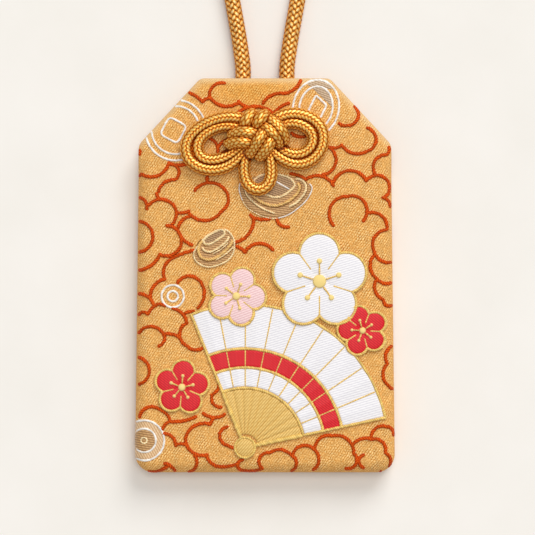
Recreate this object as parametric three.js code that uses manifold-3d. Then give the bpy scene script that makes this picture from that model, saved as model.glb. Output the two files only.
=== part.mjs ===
// Omamori charm: a brocade pouch with a folded prayer packet inside, closed by a braided cord
// that is tied in a doubled-loop knot on the front and hangs the charm by a loop at the top.
// Millimetres. The pouch lies on its back: +X to the right, +Y to the hanging loop, +Z out of the front.
import * as THREE from "three";
import { mergeVertices } from "three/addons/utils/BufferGeometryUtils.js";
import Module from "manifold-3d";

const wasm = await Module();
wasm.setup();

// Pouch outline
const pouchHeight = 69;
const bottomWidth = 45.6;
const shoulderWidth = 44.2;
const topWidth = 22.6;
const shoulderDrop = 11.6;
const bottomCornerRadius = 3.2;
const shoulderCornerRadius = 2.2;
const topCornerRadius = 1.6;
const edgeRoll = 2.2; // how far the cloth rolls over from the flat face to the side

// Layers, from the cloth inwards
const brocadeThick = 0.6;
const liningThick = 0.25;
const waddingThick = 0.7;
const cardThick = 0.5;
const paperThick = 0.15;
const tabletThick = 0.9;
const layerGap = 0.1;

// Stiffening cards and the wadding
const cardTopCut = 3; // slanting cut of a card's upper corners
const cardCornerRadius = 1.2;
const cardBelowBend = 1.5; // from a card's top edge to where the back of the pouch bends up

// Prayer packet
const tabletWidth = 26;
const tabletTopCut = 4;
const wrapperOverhang = 1.2; // paper past each end of the tablet
const bandLength = 8;
const packetTravel = 2.5; // room to slide up, out of the pouch's bottom

// Cord
const cordDiameter = 2.6;
const cordSides = 8;
const cordClearance = 0.3;
const holeSpacing = 4.8;
const holeFromTop = 12;
const knotCordDiameter = 1.85;
const knotWrapDiameter = 2.3; // the cord where it is drawn tight over itself

// Seam thread in the groove between the two panels
const seamThreadDiameter = 0.4;
const seamGrooveDepth = 0.6;
const seamGrooveHalf = 0.65;
const seamThreadGap = 0.06;

// Embroidery on the front
const stitchThick = 0.35;
const stitchGap = 0.3;

// Fan: pivot, radii and spread
const fanPivotLeft = 3.5; // of the pouch's middle
const fanPivotUp = 4.5; // from the pouch's bottom edge
const fanFrom = THREE.MathUtils.degToRad(12);
const fanTo = THREE.MathUtils.degToRad(112);
const fanSticksInner = 2.6;
const fanLeafInner = 10.5;
const fanBandInner = 14.2;
const fanBandWidth = 2.8;
const fanRadius = 25;
const fanRivetRadius = 1.7;

// Blossoms: centre to the right of the fan's pivot and up from it, outer radius, turn of the first petal
const blossoms = {
  blossom_white: { right: 13, up: 29, radius: 8.4, turn: 90, colour: 0xf4f1ee },
  blossom_pink: { right: -1.5, up: 26.4, radius: 5.2, turn: 70, colour: 0xf3c3c4 },
  blossom_red_upper: { right: 20.5, up: 20.4, radius: 4.4, turn: 105, colour: 0xd81420 },
  blossom_red_lower: { right: -11, up: 10.5, radius: 4.8, turn: 85, colour: 0xd81420 },
};
const petalCount = 5;
const petalReach = 0.58; // distance of a petal's centre as a share of the blossom's radius

// Old coins seen at a slant: centre to the right of the top edge's middle and down from it, size, turn
const coins = {
  coin_large: { right: 1.8, down: 20.6, length: 12.8, width: 7.9, turn: -6 },
  coin_small: { right: -8.85, down: 29.7, length: 7.6, width: 5.9, turn: 37 },
};

// Heights worked out from the layers
const clothStack = brocadeThick + layerGap + liningThick + layerGap;
const packetThick = tabletThick + 4 * paperThick + 4 * layerGap;
const backCardLow = clothStack;
const packetLow = backCardLow + cardThick + layerGap;
const frontCardLow = packetLow + packetThick + layerGap;
const waddingLow = frontCardLow + cardThick + layerGap;
const frontLiningLow = waddingLow + waddingThick + layerGap;
const frontHigh = frontLiningLow + liningThick + layerGap + brocadeThick;

// Places along the pouch
const bottomY = -pouchHeight / 2;
const topY = pouchHeight / 2;
const shoulderY = topY - shoulderDrop;
const holeY = topY - holeFromTop;
const cordRadius = cordDiameter / 2;
const holeRadius = cordRadius + cordClearance;
const innerInset = brocadeThick + edgeRoll + layerGap;

// The back bends up at its top end, where the cord runs under it
const backRise = cordDiameter + cordClearance + layerGap;
const bendLength = 4;
const bendTopY = holeY - holeRadius - cordClearance;
const bendLowY = bendTopY - bendLength;
const bendShares = [0, 0.25, 0.5, 0.75, 1];
const bendRows = bendShares.map((t) => bendLowY + t * bendLength);
const bendHeights = bendShares.map((t) => backRise * THREE.MathUtils.smoothstep(t, 0, 1));

// Height of the back at a row: straight from each bend row to the next
function backLow(y) {
  const step = THREE.MathUtils.clamp((y - bendLowY) / bendLength, 0, 1) * (bendShares.length - 1);
  const low = Math.min(Math.floor(step), bendShares.length - 2);
  return THREE.MathUtils.lerp(bendHeights[low], bendHeights[low + 1], step - low);
}

const seamHeight = (y) => (backLow(y) + frontHigh) / 2;

// The points of a fillet between two straight sides, `count` of them
function fillet(before, corner, after, radius, count) {
  const a = before.clone().sub(corner).normalize();
  const b = after.clone().sub(corner).normalize();
  const half = Math.acos(THREE.MathUtils.clamp(a.dot(b), -1, 1)) / 2;
  const middle = a.clone().add(b).normalize();
  const centre = corner.clone().addScaledVector(middle, radius / Math.sin(half));
  const start = corner.clone().addScaledVector(a, radius / Math.tan(half)).sub(centre);
  const end = corner.clone().addScaledVector(b, radius / Math.tan(half)).sub(centre);
  let turn = end.angle() - start.angle();
  if (turn > Math.PI) turn -= 2 * Math.PI;
  if (turn < -Math.PI) turn += 2 * Math.PI;
  return Array.from({ length: count }, (_, i) =>
    start.clone().rotateAround(new THREE.Vector2(), (turn * i) / (count - 1)).add(centre),
  );
}

// Where two lines meet, each given by a point and a direction
function meeting(p, u, q, v) {
  const cross = u.x * v.y - u.y * v.x;
  const t = ((q.x - p.x) * v.y - (q.y - p.y) * v.x) / cross;
  return p.clone().addScaledVector(u, t);
}

// Right half of an outline with slanting upper corners, drawn in by `inset`, from the bottom to the top.
// `rows` are heights that get a point of their own.
function halfOutline(shape, inset, rows = []) {
  const corners = [
    [0, shape.bottom],
    [shape.bottomWidth / 2, shape.bottom],
    [shape.shoulderWidth / 2, shape.shoulder],
    [shape.topWidth / 2, shape.top],
    [0, shape.top],
  ].map(([x, y]) => new THREE.Vector2(x, y));
  const sides = corners.slice(1).map((end, i) => {
    const along = end.clone().sub(corners[i]).normalize();
    const inward = new THREE.Vector2(-along.y, along.x);
    return { point: corners[i].clone().addScaledVector(inward, inset), along };
  });
  const met = sides.slice(1).map((s, i) => meeting(sides[i].point, sides[i].along, s.point, s.along));
  const first = new THREE.Vector2(0, met[0].y);
  const last = new THREE.Vector2(0, met[2].y);
  const [bottomRound, shoulderRound, topRound] = shape.radii.map((r) => Math.max(r - inset, r / 4));
  const outline = [
    ...fillet(first, met[0], met[1], bottomRound, 5),
    ...fillet(met[0], met[1], met[2], shoulderRound, 4),
    ...fillet(met[1], met[2], last, topRound, 4),
  ];
  const extra = rows.map((y) => {
    const above = outline.findIndex((p) => p.y > y);
    const [a, b] = [outline[above - 1], outline[above]];
    return a.clone().lerp(b, (y - a.y) / (b.y - a.y));
  });
  return [...outline, ...extra].sort((a, b) => a.y - b.y);
}

// A closed ring: up the right side, down the left, each point at the height `z` gives for its row
function ring(half, z) {
  const right = half.map((p) => new THREE.Vector3(p.x, p.y, z(p.y)));
  const left = half.map((p) => new THREE.Vector3(-p.x, p.y, z(p.y)));
  return [...right, ...left.reverse()];
}

// A geometry from points and triangles, with its faces turned outwards
function surface(points, triangles) {
  const volume = triangles.reduce((sum, [a, b, c]) => {
    return sum + points[a].dot(points[b].clone().cross(points[c]));
  }, 0);
  const faces = volume < 0 ? triangles.map(([a, b, c]) => [a, c, b]) : triangles;
  const geometry = new THREE.BufferGeometry().setFromPoints(points);
  geometry.setIndex(faces.flat());
  return geometry;
}

// Skin over a stack of rings, closed at both ends by rungs from side to side
function loft(rings) {
  const size = rings[0].length;
  const triangles = [];
  const quad = (a, b, c, d) => triangles.push([a, b, c], [a, c, d]);
  for (let k = 0; k + 1 < rings.length; k += 1) {
    for (let i = 0; i < size; i += 1) {
      const next = (i + 1) % size;
      quad(k * size + i, k * size + next, (k + 1) * size + next, (k + 1) * size + i);
    }
  }
  const base = (rings.length - 1) * size;
  for (let i = 0; i + 1 < size / 2; i += 1) {
    const across = size - 1 - i;
    quad(i, across, across - 1, i + 1);
    quad(base + i, base + i + 1, base + across - 1, base + across);
  }
  return surface(rings.flat(), triangles);
}

// A manifold solid from a closed geometry, and a geometry back from a solid
function solidOf(geometry) {
  const bare = geometry.clone();
  bare.deleteAttribute("normal");
  bare.deleteAttribute("uv");
  const merged = mergeVertices(bare, 1e-4);
  return new wasm.Manifold(
    new wasm.Mesh({
      numProp: 3,
      vertProperties: merged.attributes.position.array,
      triVerts: new Uint32Array(merged.index.array),
    }),
  );
}

function geometryOf(solid) {
  const mesh = solid.getMesh();
  const geometry = new THREE.BufferGeometry();
  geometry.setAttribute("position", new THREE.BufferAttribute(mesh.vertProperties, 3));
  geometry.setIndex(new THREE.BufferAttribute(mesh.triVerts, 1));
  return geometry;
}

const joined = (geometries) => geometryOf(geometries.map(solidOf).reduce((a, b) => a.add(b)));

function cutBy(geometry, tools) {
  return geometryOf(tools.map(solidOf).reduce((a, b) => a.subtract(b), solidOf(geometry)));
}

// Sheets of the pouch
const pouchShape = {
  bottom: bottomY,
  top: topY,
  shoulder: shoulderY,
  bottomWidth,
  shoulderWidth,
  topWidth,
  radii: [bottomCornerRadius, shoulderCornerRadius, topCornerRadius],
};
const rollAngles = [0, 30, 60, 90].map((a) => THREE.MathUtils.degToRad(a));

// The rings of one side of a panel, from the rim up over the rolled edge to the flat face.
// `face` is the height of the flat side, `way` is 1 for the front and -1 for the back.
function panelRings(inset, face, way) {
  const rim = halfOutline(pouchShape, inset + seamGrooveDepth, bendRows);
  const groove = ring(rim, (y) => seamHeight(y) + way * layerGap);
  const rolled = rollAngles.map((angle) => {
    const half = halfOutline(pouchShape, inset + edgeRoll * (1 - Math.cos(angle)), bendRows);
    return ring(half, (y) => {
      const start = seamHeight(y) + way * seamGrooveHalf;
      return start + (face(y) - start) * Math.sin(angle);
    });
  });
  return [groove, ...rolled];
}

function cordHoles() {
  return [-1, 1].map((side) => {
    const hole = new THREE.CylinderGeometry(holeRadius, holeRadius, 4 * frontHigh, 2 * cordSides);
    return hole.rotateX(Math.PI / 2).translate((side * holeSpacing) / 2, holeY, 0);
  });
}

function brocadePanel(face, way) {
  const outer = panelRings(0, face, way);
  const inner = panelRings(brocadeThick, (y) => face(y) - way * brocadeThick, way);
  return cutBy(loft([...inner.reverse(), ...outer]), cordHoles());
}

// A sheet of even thickness lying on `low`
function sheet(shape, inset, low, thick, rows = []) {
  const half = halfOutline(shape, inset, rows);
  return loft([ring(half, low), ring(half, (y) => low(y) + thick)]);
}

function lining(low) {
  return cutBy(sheet(pouchShape, innerInset, low, liningThick, bendRows), cordHoles());
}

// Width of the pouch at a height on its long side
function widthAt(y) {
  const share = (y - bottomY) / (shoulderY - bottomY);
  return THREE.MathUtils.lerp(bottomWidth, shoulderWidth, share);
}

const cardTopY = bendLowY - cardBelowBend;
const cardShape = {
  bottom: bottomY,
  top: cardTopY + innerInset,
  shoulder: cardTopY + innerInset - cardTopCut,
  bottomWidth,
  shoulderWidth: widthAt(cardTopY - cardTopCut),
  topWidth: widthAt(cardTopY) - 2 * cardTopCut,
  radii: [bottomCornerRadius, cardCornerRadius, cardCornerRadius].map((r) => r + innerInset),
};
const card = (low, thick) => sheet(cardShape, innerInset, () => low, thick);

// Prayer packet, standing in the pouch's bottom with room to slide up as far as the cards reach
const packetBottomY = bottomY + innerInset;
const wrapperLength = cardTopY - packetTravel - packetBottomY;
const tabletLength = wrapperLength - 2 * wrapperOverhang;
const packetMiddleY = packetBottomY + wrapperLength / 2;
const packetMiddleZ = packetLow + packetThick / 2;

function tablet() {
  const w = tabletWidth / 2;
  const l = tabletLength / 2;
  const outline = new THREE.Shape();
  outline.moveTo(-w, -l).lineTo(w, -l).lineTo(w, l - tabletTopCut);
  outline.lineTo(w - tabletTopCut, l).lineTo(tabletTopCut - w, l).lineTo(-w, l - tabletTopCut);
  const slab = new THREE.ExtrudeGeometry(outline, { depth: tabletThick, bevelEnabled: false });
  return slab.translate(0, 0, -tabletThick / 2);
}

// A flat paper sleeve round the packet: inner width and height, and its length along Y
function sleeve(width, height, length) {
  const frame = (w, h) => [
    new THREE.Vector2(-w / 2, -h / 2),
    new THREE.Vector2(w / 2, -h / 2),
    new THREE.Vector2(w / 2, h / 2),
    new THREE.Vector2(-w / 2, h / 2),
  ];
  const outline = new THREE.Shape(frame(width + 2 * paperThick, height + 2 * paperThick));
  outline.holes.push(new THREE.Path(frame(width, height)));
  const tube = new THREE.ExtrudeGeometry(outline, { depth: length, bevelEnabled: false });
  return tube.translate(0, 0, -length / 2).rotateX(Math.PI / 2);
}

const wrapperInner = [tabletWidth + 2 * layerGap, tabletThick + 2 * layerGap];
const bandInner = wrapperInner.map((size) => size + 2 * paperThick + 2 * layerGap);

// Cord
function cordSection(radius, sides) {
  const turn = Math.PI / sides; // a flat of the section faces down
  const corner = (_, i) => {
    const angle = turn + (2 * Math.PI * i) / sides;
    return new THREE.Vector2(radius * Math.cos(angle), radius * Math.sin(angle));
  };
  return new THREE.Shape(Array.from({ length: sides }, corner));
}

function tube(points, radius, steps, sides = cordSides) {
  const route = new THREE.CatmullRomCurve3(points.map((p) => new THREE.Vector3(...p)));
  return new THREE.ExtrudeGeometry(cordSection(radius, sides), { steps, extrudePath: route });
}

// The free loop starts where the cord leaves the top edge. Each end is a ball, so that it can swing up there.
const loopStartY = topY + cordClearance + cordRadius;
const loopHalf = [
  [-3.85, 0],
  [-4.1, 2.6],
  [-4.55, 5.6],
  [-5.1, 8.8],
  [-5.7, 12.2],
  [-6.4, 16.4],
  [-7.2, 21],
  [-7.9, 26],
  [-8.2, 31],
  [-7.7, 36],
  [-6.1, 40.4],
  [-3.4, 43.6],
];
const loopTop = [0, 44.8];
const loopRoute = [...loopHalf, loopTop, ...loopHalf.map(([x, y]) => [-x, y]).reverse()];

// The cord's two legs come through the pouch under the knot and run up its back to the top edge
const knotLift = stitchThick + 2 * layerGap;
const legTopZ = frontHigh + knotLift - cordClearance;
const legBendAngles = [30, 60].map((a) => THREE.MathUtils.degToRad(a));

function cordLeg(side) {
  const x = (side * holeSpacing) / 2;
  const exit = -side * loopHalf[0][0];
  const bend = cordRadius + layerGap;
  const corner = legBendAngles.map((a) => {
    return [x, holeY + bend * (1 - Math.cos(a)), cordRadius + bend * (1 - Math.sin(a))];
  });
  const down = [legTopZ, frontHigh, (frontHigh + backRise) / 2, cordRadius + bend].map((z) => [x, holeY, z]);
  const away = [0.25, 0.5, 0.75, 1].map((t) => [
    THREE.MathUtils.lerp(x, exit, t),
    THREE.MathUtils.lerp(holeY + bend, topY, t),
    cordRadius,
  ]);
  return tube([...down, ...corner, [x, holeY + bend, cordRadius], ...away], cordRadius, 22);
}

function hangLoop() {
  const points = loopRoute.map(([x, y]) => [x, loopStartY + y, cordRadius]);
  const balls = [points[0], points.at(-1)].map((p) => {
    return new THREE.SphereGeometry(cordRadius, cordSides, cordSides).rotateX(Math.PI / 2).translate(...p);
  });
  return joined([tube(points, cordRadius, 40), ...balls]);
}

// The knot. Every point is [x, y, height] in diameters of its cord: x from the middle, y from the row of
// the holes, the height from the plane that the knot lies on.
const knotLoops = {
  left_outer: [
    [-1.41, 2.22, 0.81],
    [-2.27, 2.59, 0.81],
    [-3.57, 2.73, 0.76],
    [-5.19, 2.32, 0.65],
    [-6.59, 1.43, 0.54],
    [-7.38, 0.16, 0.5],
    [-7.14, -1.14, 0.5],
    [-6.11, -1.95, 0.5],
    [-4.76, -2.16, 0.5],
    [-3.35, -1.73, 0.5],
    [-2.27, -0.81, 0.5],
    [-1.51, 0.05, 0.5],
  ],
  left_inner: [
    [-1.51, 1.68, 0.54],
    [-2.59, 1.81, 0.54],
    [-3.89, 1.92, 0.54],
    [-5.19, 1.49, 0.54],
    [-6.11, 0.7, 0.5],
    [-6.35, -0.22, 0.5],
    [-5.95, -1, 0.5],
    [-4.81, -1.27, 0.5],
    [-3.57, -0.89, 0.5],
    [-2.59, -0.27, 0.5],
    [-1.73, 0.38, 0.5],
  ],
  right_outer: [
    [0.22, 2, 0.81],
    [0.97, 2.54, 0.81],
    [1.84, 2.95, 0.76],
    [3.03, 3.05, 0.65],
    [4.32, 2.65, 0.54],
    [5.24, 1.78, 0.5],
    [5.49, 0.7, 0.5],
    [5.11, -0.51, 0.5],
    [4.22, -1.35, 0.5],
    [3.14, -1.65, 0.5],
    [1.95, -1.35, 0.5],
    [0.97, -0.7, 0.5],
    [0.22, 0.05, 0.5],
  ],
  right_inner: [
    [0.65, 1.59, 0.54],
    [1.51, 2.03, 0.54],
    [2.49, 2.24, 0.54],
    [3.57, 2, 0.54],
    [4.35, 1.35, 0.5],
    [4.51, 0.49, 0.5],
    [4.05, -0.32, 0.5],
    [3.14, -0.73, 0.5],
    [2.05, -0.54, 0.5],
    [1.19, 0.11, 0.5],
    [0.43, 0.7, 0.5],
  ],
  tail_loop: [
    [-1.41, 0.05, 0.5],
    [-1.78, -0.92, 0.5],
    [-1.95, -2, 0.5],
    [-1.84, -2.97, 0.5],
    [-1.41, -3.73, 0.5],
    [-0.65, -4.05, 0.5],
    [0.11, -3.73, 0.5],
    [0.54, -2.97, 0.5],
    [0.59, -2, 0.5],
    [0.43, -0.92, 0.5],
    [0.11, 0.05, 0.5],
  ],
};
const knotWraps = {
  top_1: [
    [-1.03, 3.05, 0.63],
    [-1.22, 2.97, 1.05],
    [-1.51, 2.73, 1.42],
    [-1.76, 2.32, 1.4],
    [-1.86, 1.89, 1.05],
    [-1.89, 1.46, 0.63],
  ],
  top_2: [
    [0.14, 2.92, 0.63],
    [-0.05, 2.89, 1.1],
    [-0.32, 2.68, 1.55],
    [-0.65, 2.27, 1.5],
    [-0.86, 1.84, 1.1],
    [-0.97, 1.41, 0.63],
  ],
  left_1: [
    [-3.3, 0.65, 0.63],
    [-3.03, 0.95, 0.9],
    [-2.54, 1.22, 1.3],
    [-1.86, 1.3, 1.6],
    [-1.14, 1.16, 1.5],
    [-0.65, 0.89, 1],
    [-0.32, 0.59, 0.63],
  ],
  left_2: [
    [-3.68, -0.08, 0.63],
    [-3.43, 0.16, 0.78],
    [-3, 0.35, 1.1],
    [-2.35, 0.43, 1.45],
    [-1.57, 0.35, 1.4],
    [-1.03, 0.14, 0.9],
    [-0.59, -0.14, 0.63],
  ],
  low_1: [
    [-1.49, -0.78, 0.63],
    [-1.35, -0.59, 0.95],
    [-0.95, 0.03, 1.5],
    [-0.51, 0.7, 1.75],
    [-0.16, 1.27, 1.45],
    [0.14, 1.68, 0.9],
  ],
  low_2: [
    [-0.62, -1.08, 0.63],
    [-0.49, -0.89, 0.95],
    [-0.03, -0.38, 1.5],
    [0.38, 0.24, 1.62],
    [0.65, 0.78, 1.2],
    [0.81, 1.19, 0.8],
  ],
  right_1: [
    [-0.59, 2.16, 0.63],
    [-0.27, 1.89, 1.15],
    [0.41, 1.49, 1.6],
    [1.03, 0.92, 1.5],
    [1.35, 0.41, 1],
    [1.43, 0.05, 0.63],
  ],
  right_2: [
    [0, 2.76, 0.63],
    [0.3, 2.54, 1.05],
    [1, 2.03, 1.45],
    [1.51, 1.38, 1.45],
    [1.73, 0.7, 1],
    [1.76, 0.22, 0.63],
  ],
};

function cordKnot() {
  const low = frontHigh + knotLift;
  const place = (point) => {
    const [x, y, height] = point.map((v) => v * knotCordDiameter);
    return [x, holeY + y, low + height];
  };
  const loops = Object.values(knotLoops).map((p) => tube(p.map(place), knotCordDiameter / 2, 2 * p.length));
  const wraps = Object.values(knotWraps).map((p) => tube(p.map(place), knotWrapDiameter / 2, 8));
  return joined([...loops, ...wraps]);
}

// Seam thread in the groove between the two panels, along a run of points on the outline
const seamInset = seamGrooveDepth - seamThreadDiameter / 2 - seamThreadGap;
const seamSides = 6;
const seamOutline = halfOutline(pouchShape, seamInset, bendRows);
const seamCornerY = bottomY + bottomCornerRadius;

function seamThread(run) {
  const rings = run.map((p, i) => {
    const along = run[Math.min(i + 1, run.length - 1)].clone().sub(run[Math.max(i - 1, 0)]).normalize();
    return Array.from({ length: seamSides }, (_, k) => {
      const angle = (Math.PI * (2 * k + 1)) / seamSides;
      const out = (seamThreadDiameter / 2) * Math.cos(angle);
      const up = (seamThreadDiameter / 2) * Math.sin(angle);
      return new THREE.Vector3(p.x + out * along.y, p.y - out * along.x, seamHeight(p.y) + up);
    });
  });
  return loft(rings);
}

const mirrored = (points) => points.map((p) => new THREE.Vector2(-p.x, p.y)).reverse();
const rightSeam = seamOutline.filter((p) => p.y > seamCornerY - layerGap && p.y < topY - topCornerRadius);

function bottomSeam() {
  const corner = seamOutline.filter((p) => p.y < seamCornerY - layerGap);
  return seamThread([...mirrored(corner), ...corner]);
}

// Embroidered patches
function patch(outline) {
  const options = { depth: stitchThick, bevelEnabled: false, curveSegments: 20 };
  return new THREE.ExtrudeGeometry(outline, options).translate(0, 0, frontHigh + layerGap);
}

const fanPivot = [-fanPivotLeft, bottomY + fanPivotUp];

// Outline of a blossom: the far side of equal round petals, as a radius for each direction
function blossomOutline(blossom, grow = 0) {
  const reach = petalReach * blossom.radius;
  const petal = blossom.radius - reach + grow;
  const perPetal = 8;
  const points = Array.from({ length: petalCount * perPetal }, (_, i) => {
    const sector = (2 * Math.PI) / petalCount;
    const fromPetal = ((i % perPetal) / perPetal - 0.5) * sector;
    const radius = reach * Math.cos(fromPetal) + Math.sqrt(petal ** 2 - (reach * Math.sin(fromPetal)) ** 2);
    const angle = THREE.MathUtils.degToRad(blossom.turn) + Math.floor(i / perPetal) * sector + fromPetal;
    return new THREE.Vector2(
      fanPivot[0] + blossom.right + radius * Math.cos(angle),
      fanPivot[1] + blossom.up + radius * Math.sin(angle),
    );
  });
  return new THREE.Shape(points);
}

function fanSector(inner, outer) {
  const outline = new THREE.Shape();
  outline.absarc(...fanPivot, outer, fanFrom, fanTo, false);
  outline.absarc(...fanPivot, inner, fanTo, fanFrom, true);
  return outline;
}

// A blossom lies over what it meets, so that is cut back from it all round
function cleared(geometry, names) {
  const tools = names.map((name) => patch(blossomOutline(blossoms[name], stitchGap)));
  return cutBy(geometry, tools);
}

const fanLeafPieces = {
  fan_base: [fanLeafInner, fanBandInner - stitchGap],
  fan_band: [fanBandInner, fanBandInner + fanBandWidth],
  fan_leaf: [fanBandInner + fanBandWidth + stitchGap, fanRadius],
};

function coinOutline({ right, down, length, width, turn }) {
  const tilt = THREE.MathUtils.degToRad(turn);
  return new THREE.Shape().absellipse(right, topY - down, length / 2, width / 2, 0, 2 * Math.PI, false, tilt);
}

// The charm
const charm = new THREE.Group();

function add(name, geometry, colour, roughness, parent = charm) {
  const material = new THREE.MeshStandardMaterial({ color: colour, roughness, metalness: 0 });
  const mesh = new THREE.Mesh(geometry, material);
  mesh.name = name;
  parent.add(mesh);
  return mesh;
}

const gold = 0xe3a04c;
const cordGold = 0xd98a1e;
const cream = 0xf0e2c8;
const white = 0xf4f1ee;
const red = 0xd81420;

add("front_brocade", brocadePanel(() => frontHigh, 1), gold, 0.7);
add("back_brocade", brocadePanel(backLow, -1), gold, 0.7);
add("front_lining", lining(() => frontLiningLow), cream, 0.85);
add("back_lining", lining((y) => backLow(y) + brocadeThick + layerGap), cream, 0.85);
add("front_card", card(frontCardLow, cardThick), 0xcdbb98, 0.9);
add("back_card", card(backCardLow, cardThick), 0xcdbb98, 0.9);
add("wadding", card(waddingLow, waddingThick), 0xf7f4ec, 0.95);

const packet = new THREE.Group();
packet.position.set(0, packetMiddleY, packetMiddleZ);
charm.add(packet);
add("prayer_tablet", tablet(), 0xdcb987, 0.7, packet);
add("paper_wrapper", sleeve(...wrapperInner, wrapperLength), 0xfaf6ea, 0.9, packet);
add("wrapper_band", sleeve(...bandInner, bandLength), red, 0.8, packet);

add("side_seam_left", seamThread(mirrored(rightSeam)), gold, 0.6);
add("side_seam_right", seamThread(rightSeam), gold, 0.6);
add("bottom_seam", bottomSeam(), gold, 0.6);

add("cord_leg_left", cordLeg(-1), cordGold, 0.5);
add("cord_leg_right", cordLeg(1), cordGold, 0.5);
add("cord_knot", cordKnot(), cordGold, 0.5);
add("hang_loop", hangLoop(), cordGold, 0.5);

for (const [name, [inner, outer]] of Object.entries(fanLeafPieces)) {
  const over = ["blossom_white", "blossom_pink", "blossom_red_upper"];
  add(name, cleared(patch(fanSector(inner, outer)), over), name === "fan_band" ? red : white, 0.6);
}
add("fan_sticks", patch(fanSector(fanSticksInner, fanLeafInner - stitchGap)), 0xc8912e, 0.55);
const rivetOutline = new THREE.Shape().absarc(...fanPivot, fanRivetRadius, 0, 2 * Math.PI, false);
add("fan_rivet", patch(rivetOutline), 0xc8912e, 0.5);
for (const [name, blossom] of Object.entries(blossoms)) {
  const over = name === "blossom_red_upper" ? ["blossom_white"] : [];
  add(name, cleared(patch(blossomOutline(blossom)), over), blossom.colour, 0.6);
}
for (const [name, coin] of Object.entries(coins)) {
  add(name, cleared(patch(coinOutline(coin)), ["blossom_white", "blossom_pink"]), 0xb8a27c, 0.6);
}

export default charm;
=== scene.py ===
# %% [markdown]
# A brocade amulet pouch, lying on its back on a pale table: a flat padded bag of gold twill with
# raised cloud embroidery, closed by a braided cord that is tied in a doubled-loop knot.
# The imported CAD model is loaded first. It is the fixed frame: every piece made here is worked out in
# its millimetres and then written in metres, so nothing has to be fitted by eye afterwards.

# %% The frame
import math

import bmesh
import bpy
import numpy as np
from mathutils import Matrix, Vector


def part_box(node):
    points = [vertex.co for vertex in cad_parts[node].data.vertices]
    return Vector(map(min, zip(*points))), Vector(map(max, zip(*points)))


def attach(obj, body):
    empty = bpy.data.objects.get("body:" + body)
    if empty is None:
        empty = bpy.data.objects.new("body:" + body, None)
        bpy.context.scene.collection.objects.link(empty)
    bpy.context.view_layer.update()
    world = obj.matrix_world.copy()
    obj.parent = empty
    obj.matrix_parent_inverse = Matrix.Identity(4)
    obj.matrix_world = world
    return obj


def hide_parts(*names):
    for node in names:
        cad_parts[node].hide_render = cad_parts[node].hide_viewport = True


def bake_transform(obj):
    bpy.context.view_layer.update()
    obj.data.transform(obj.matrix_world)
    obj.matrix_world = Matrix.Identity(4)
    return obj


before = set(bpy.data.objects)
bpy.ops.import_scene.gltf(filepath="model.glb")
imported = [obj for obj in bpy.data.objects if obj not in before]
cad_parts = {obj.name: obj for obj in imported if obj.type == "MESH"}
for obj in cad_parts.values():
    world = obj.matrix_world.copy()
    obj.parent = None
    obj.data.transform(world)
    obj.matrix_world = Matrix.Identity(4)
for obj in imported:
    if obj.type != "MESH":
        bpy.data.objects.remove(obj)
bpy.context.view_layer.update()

bpy.context.scene.view_settings.view_transform = "Standard"
MM = 0.001

# %% [markdown]
# The photograph looks straight down on the charm. A long lens far above keeps the sides of the pouch
# parallel. The lens is worked out from the width that the picture shows at the height of the front:
# focal length = sensor width x distance / width seen.

# %% Camera
leaf_above_cloth = 0.1
face_height = 1000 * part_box("fan_leaf")[0].z - leaf_above_cloth
picture_width, picture_middle = 93.45, (0.44, 1.41)
camera_height, sensor_width = 560.0, 36.0


def placed(name, data):
    """A new object with this data, in the scene."""
    made = bpy.data.objects.new(name, data)
    bpy.context.scene.collection.objects.link(made)
    return made


camera_data = bpy.data.cameras.new("camera")
camera_data.sensor_width = sensor_width
camera_data.lens = sensor_width * (camera_height - face_height) / picture_width
camera_data.clip_start = 0.01
camera = placed("camera", camera_data)
camera.location = [v * MM for v in (*picture_middle, camera_height)]
bpy.context.scene.camera = camera
print("lens in mm", round(camera_data.lens, 1), "front of the pouch at", round(face_height, 2))

# %% [markdown]
# Every piece below is a grid of points worked out as whole arrays, so one helper turns grids into a
# mesh. A grid may be closed across, as a tube is. Besides the points it carries numbers that the
# finishes read: a map in millimetres for the cloth, how high a stitch stands with painted shade and
# painted highlight folded in (relief), and a shade of its own for each stitch (tone). Points that
# coincide are merged, which closes seams and poles.

# %% From grids to a mesh
merge_distance = 2e-7


def grid_faces(rows, columns, closed, flip, first):
    """Four-sided faces between each point, the next across, and the two of the next row."""
    i = np.arange(rows - 1)[:, None]
    j = np.arange(columns if closed else columns - 1)[None, :]
    k = (j + 1) % columns
    quads = [i * columns + j, i * columns + k, (i + 1) * columns + k, (i + 1) * columns + j]
    quads = np.stack(quads, -1).reshape(-1, 4) + first
    return quads[:, ::-1] if flip else quads


def joined_grids(grids):
    """Points, faces, map, relief and tone of several grids, one after the other."""
    first, points, faces, maps, reliefs, tones = 0, [], [], [], [], []
    for g in grids:
        rows, columns = g["points"].shape[:2]
        points.append(g["points"].reshape(-1, 3))
        faces.append(grid_faces(rows, columns, g.get("closed", False), g.get("flip", False), first))
        maps.append(g.get("map", g["points"][..., :2]).reshape(-1, 2))
        reliefs.append(np.broadcast_to(g.get("relief", 1.0), (rows, columns)).ravel())
        tones.append(np.broadcast_to(g.get("tone", 0.5), (rows, columns)).ravel())
        first += rows * columns
    return [np.concatenate(a) for a in (points, faces, maps, reliefs, tones)]


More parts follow.
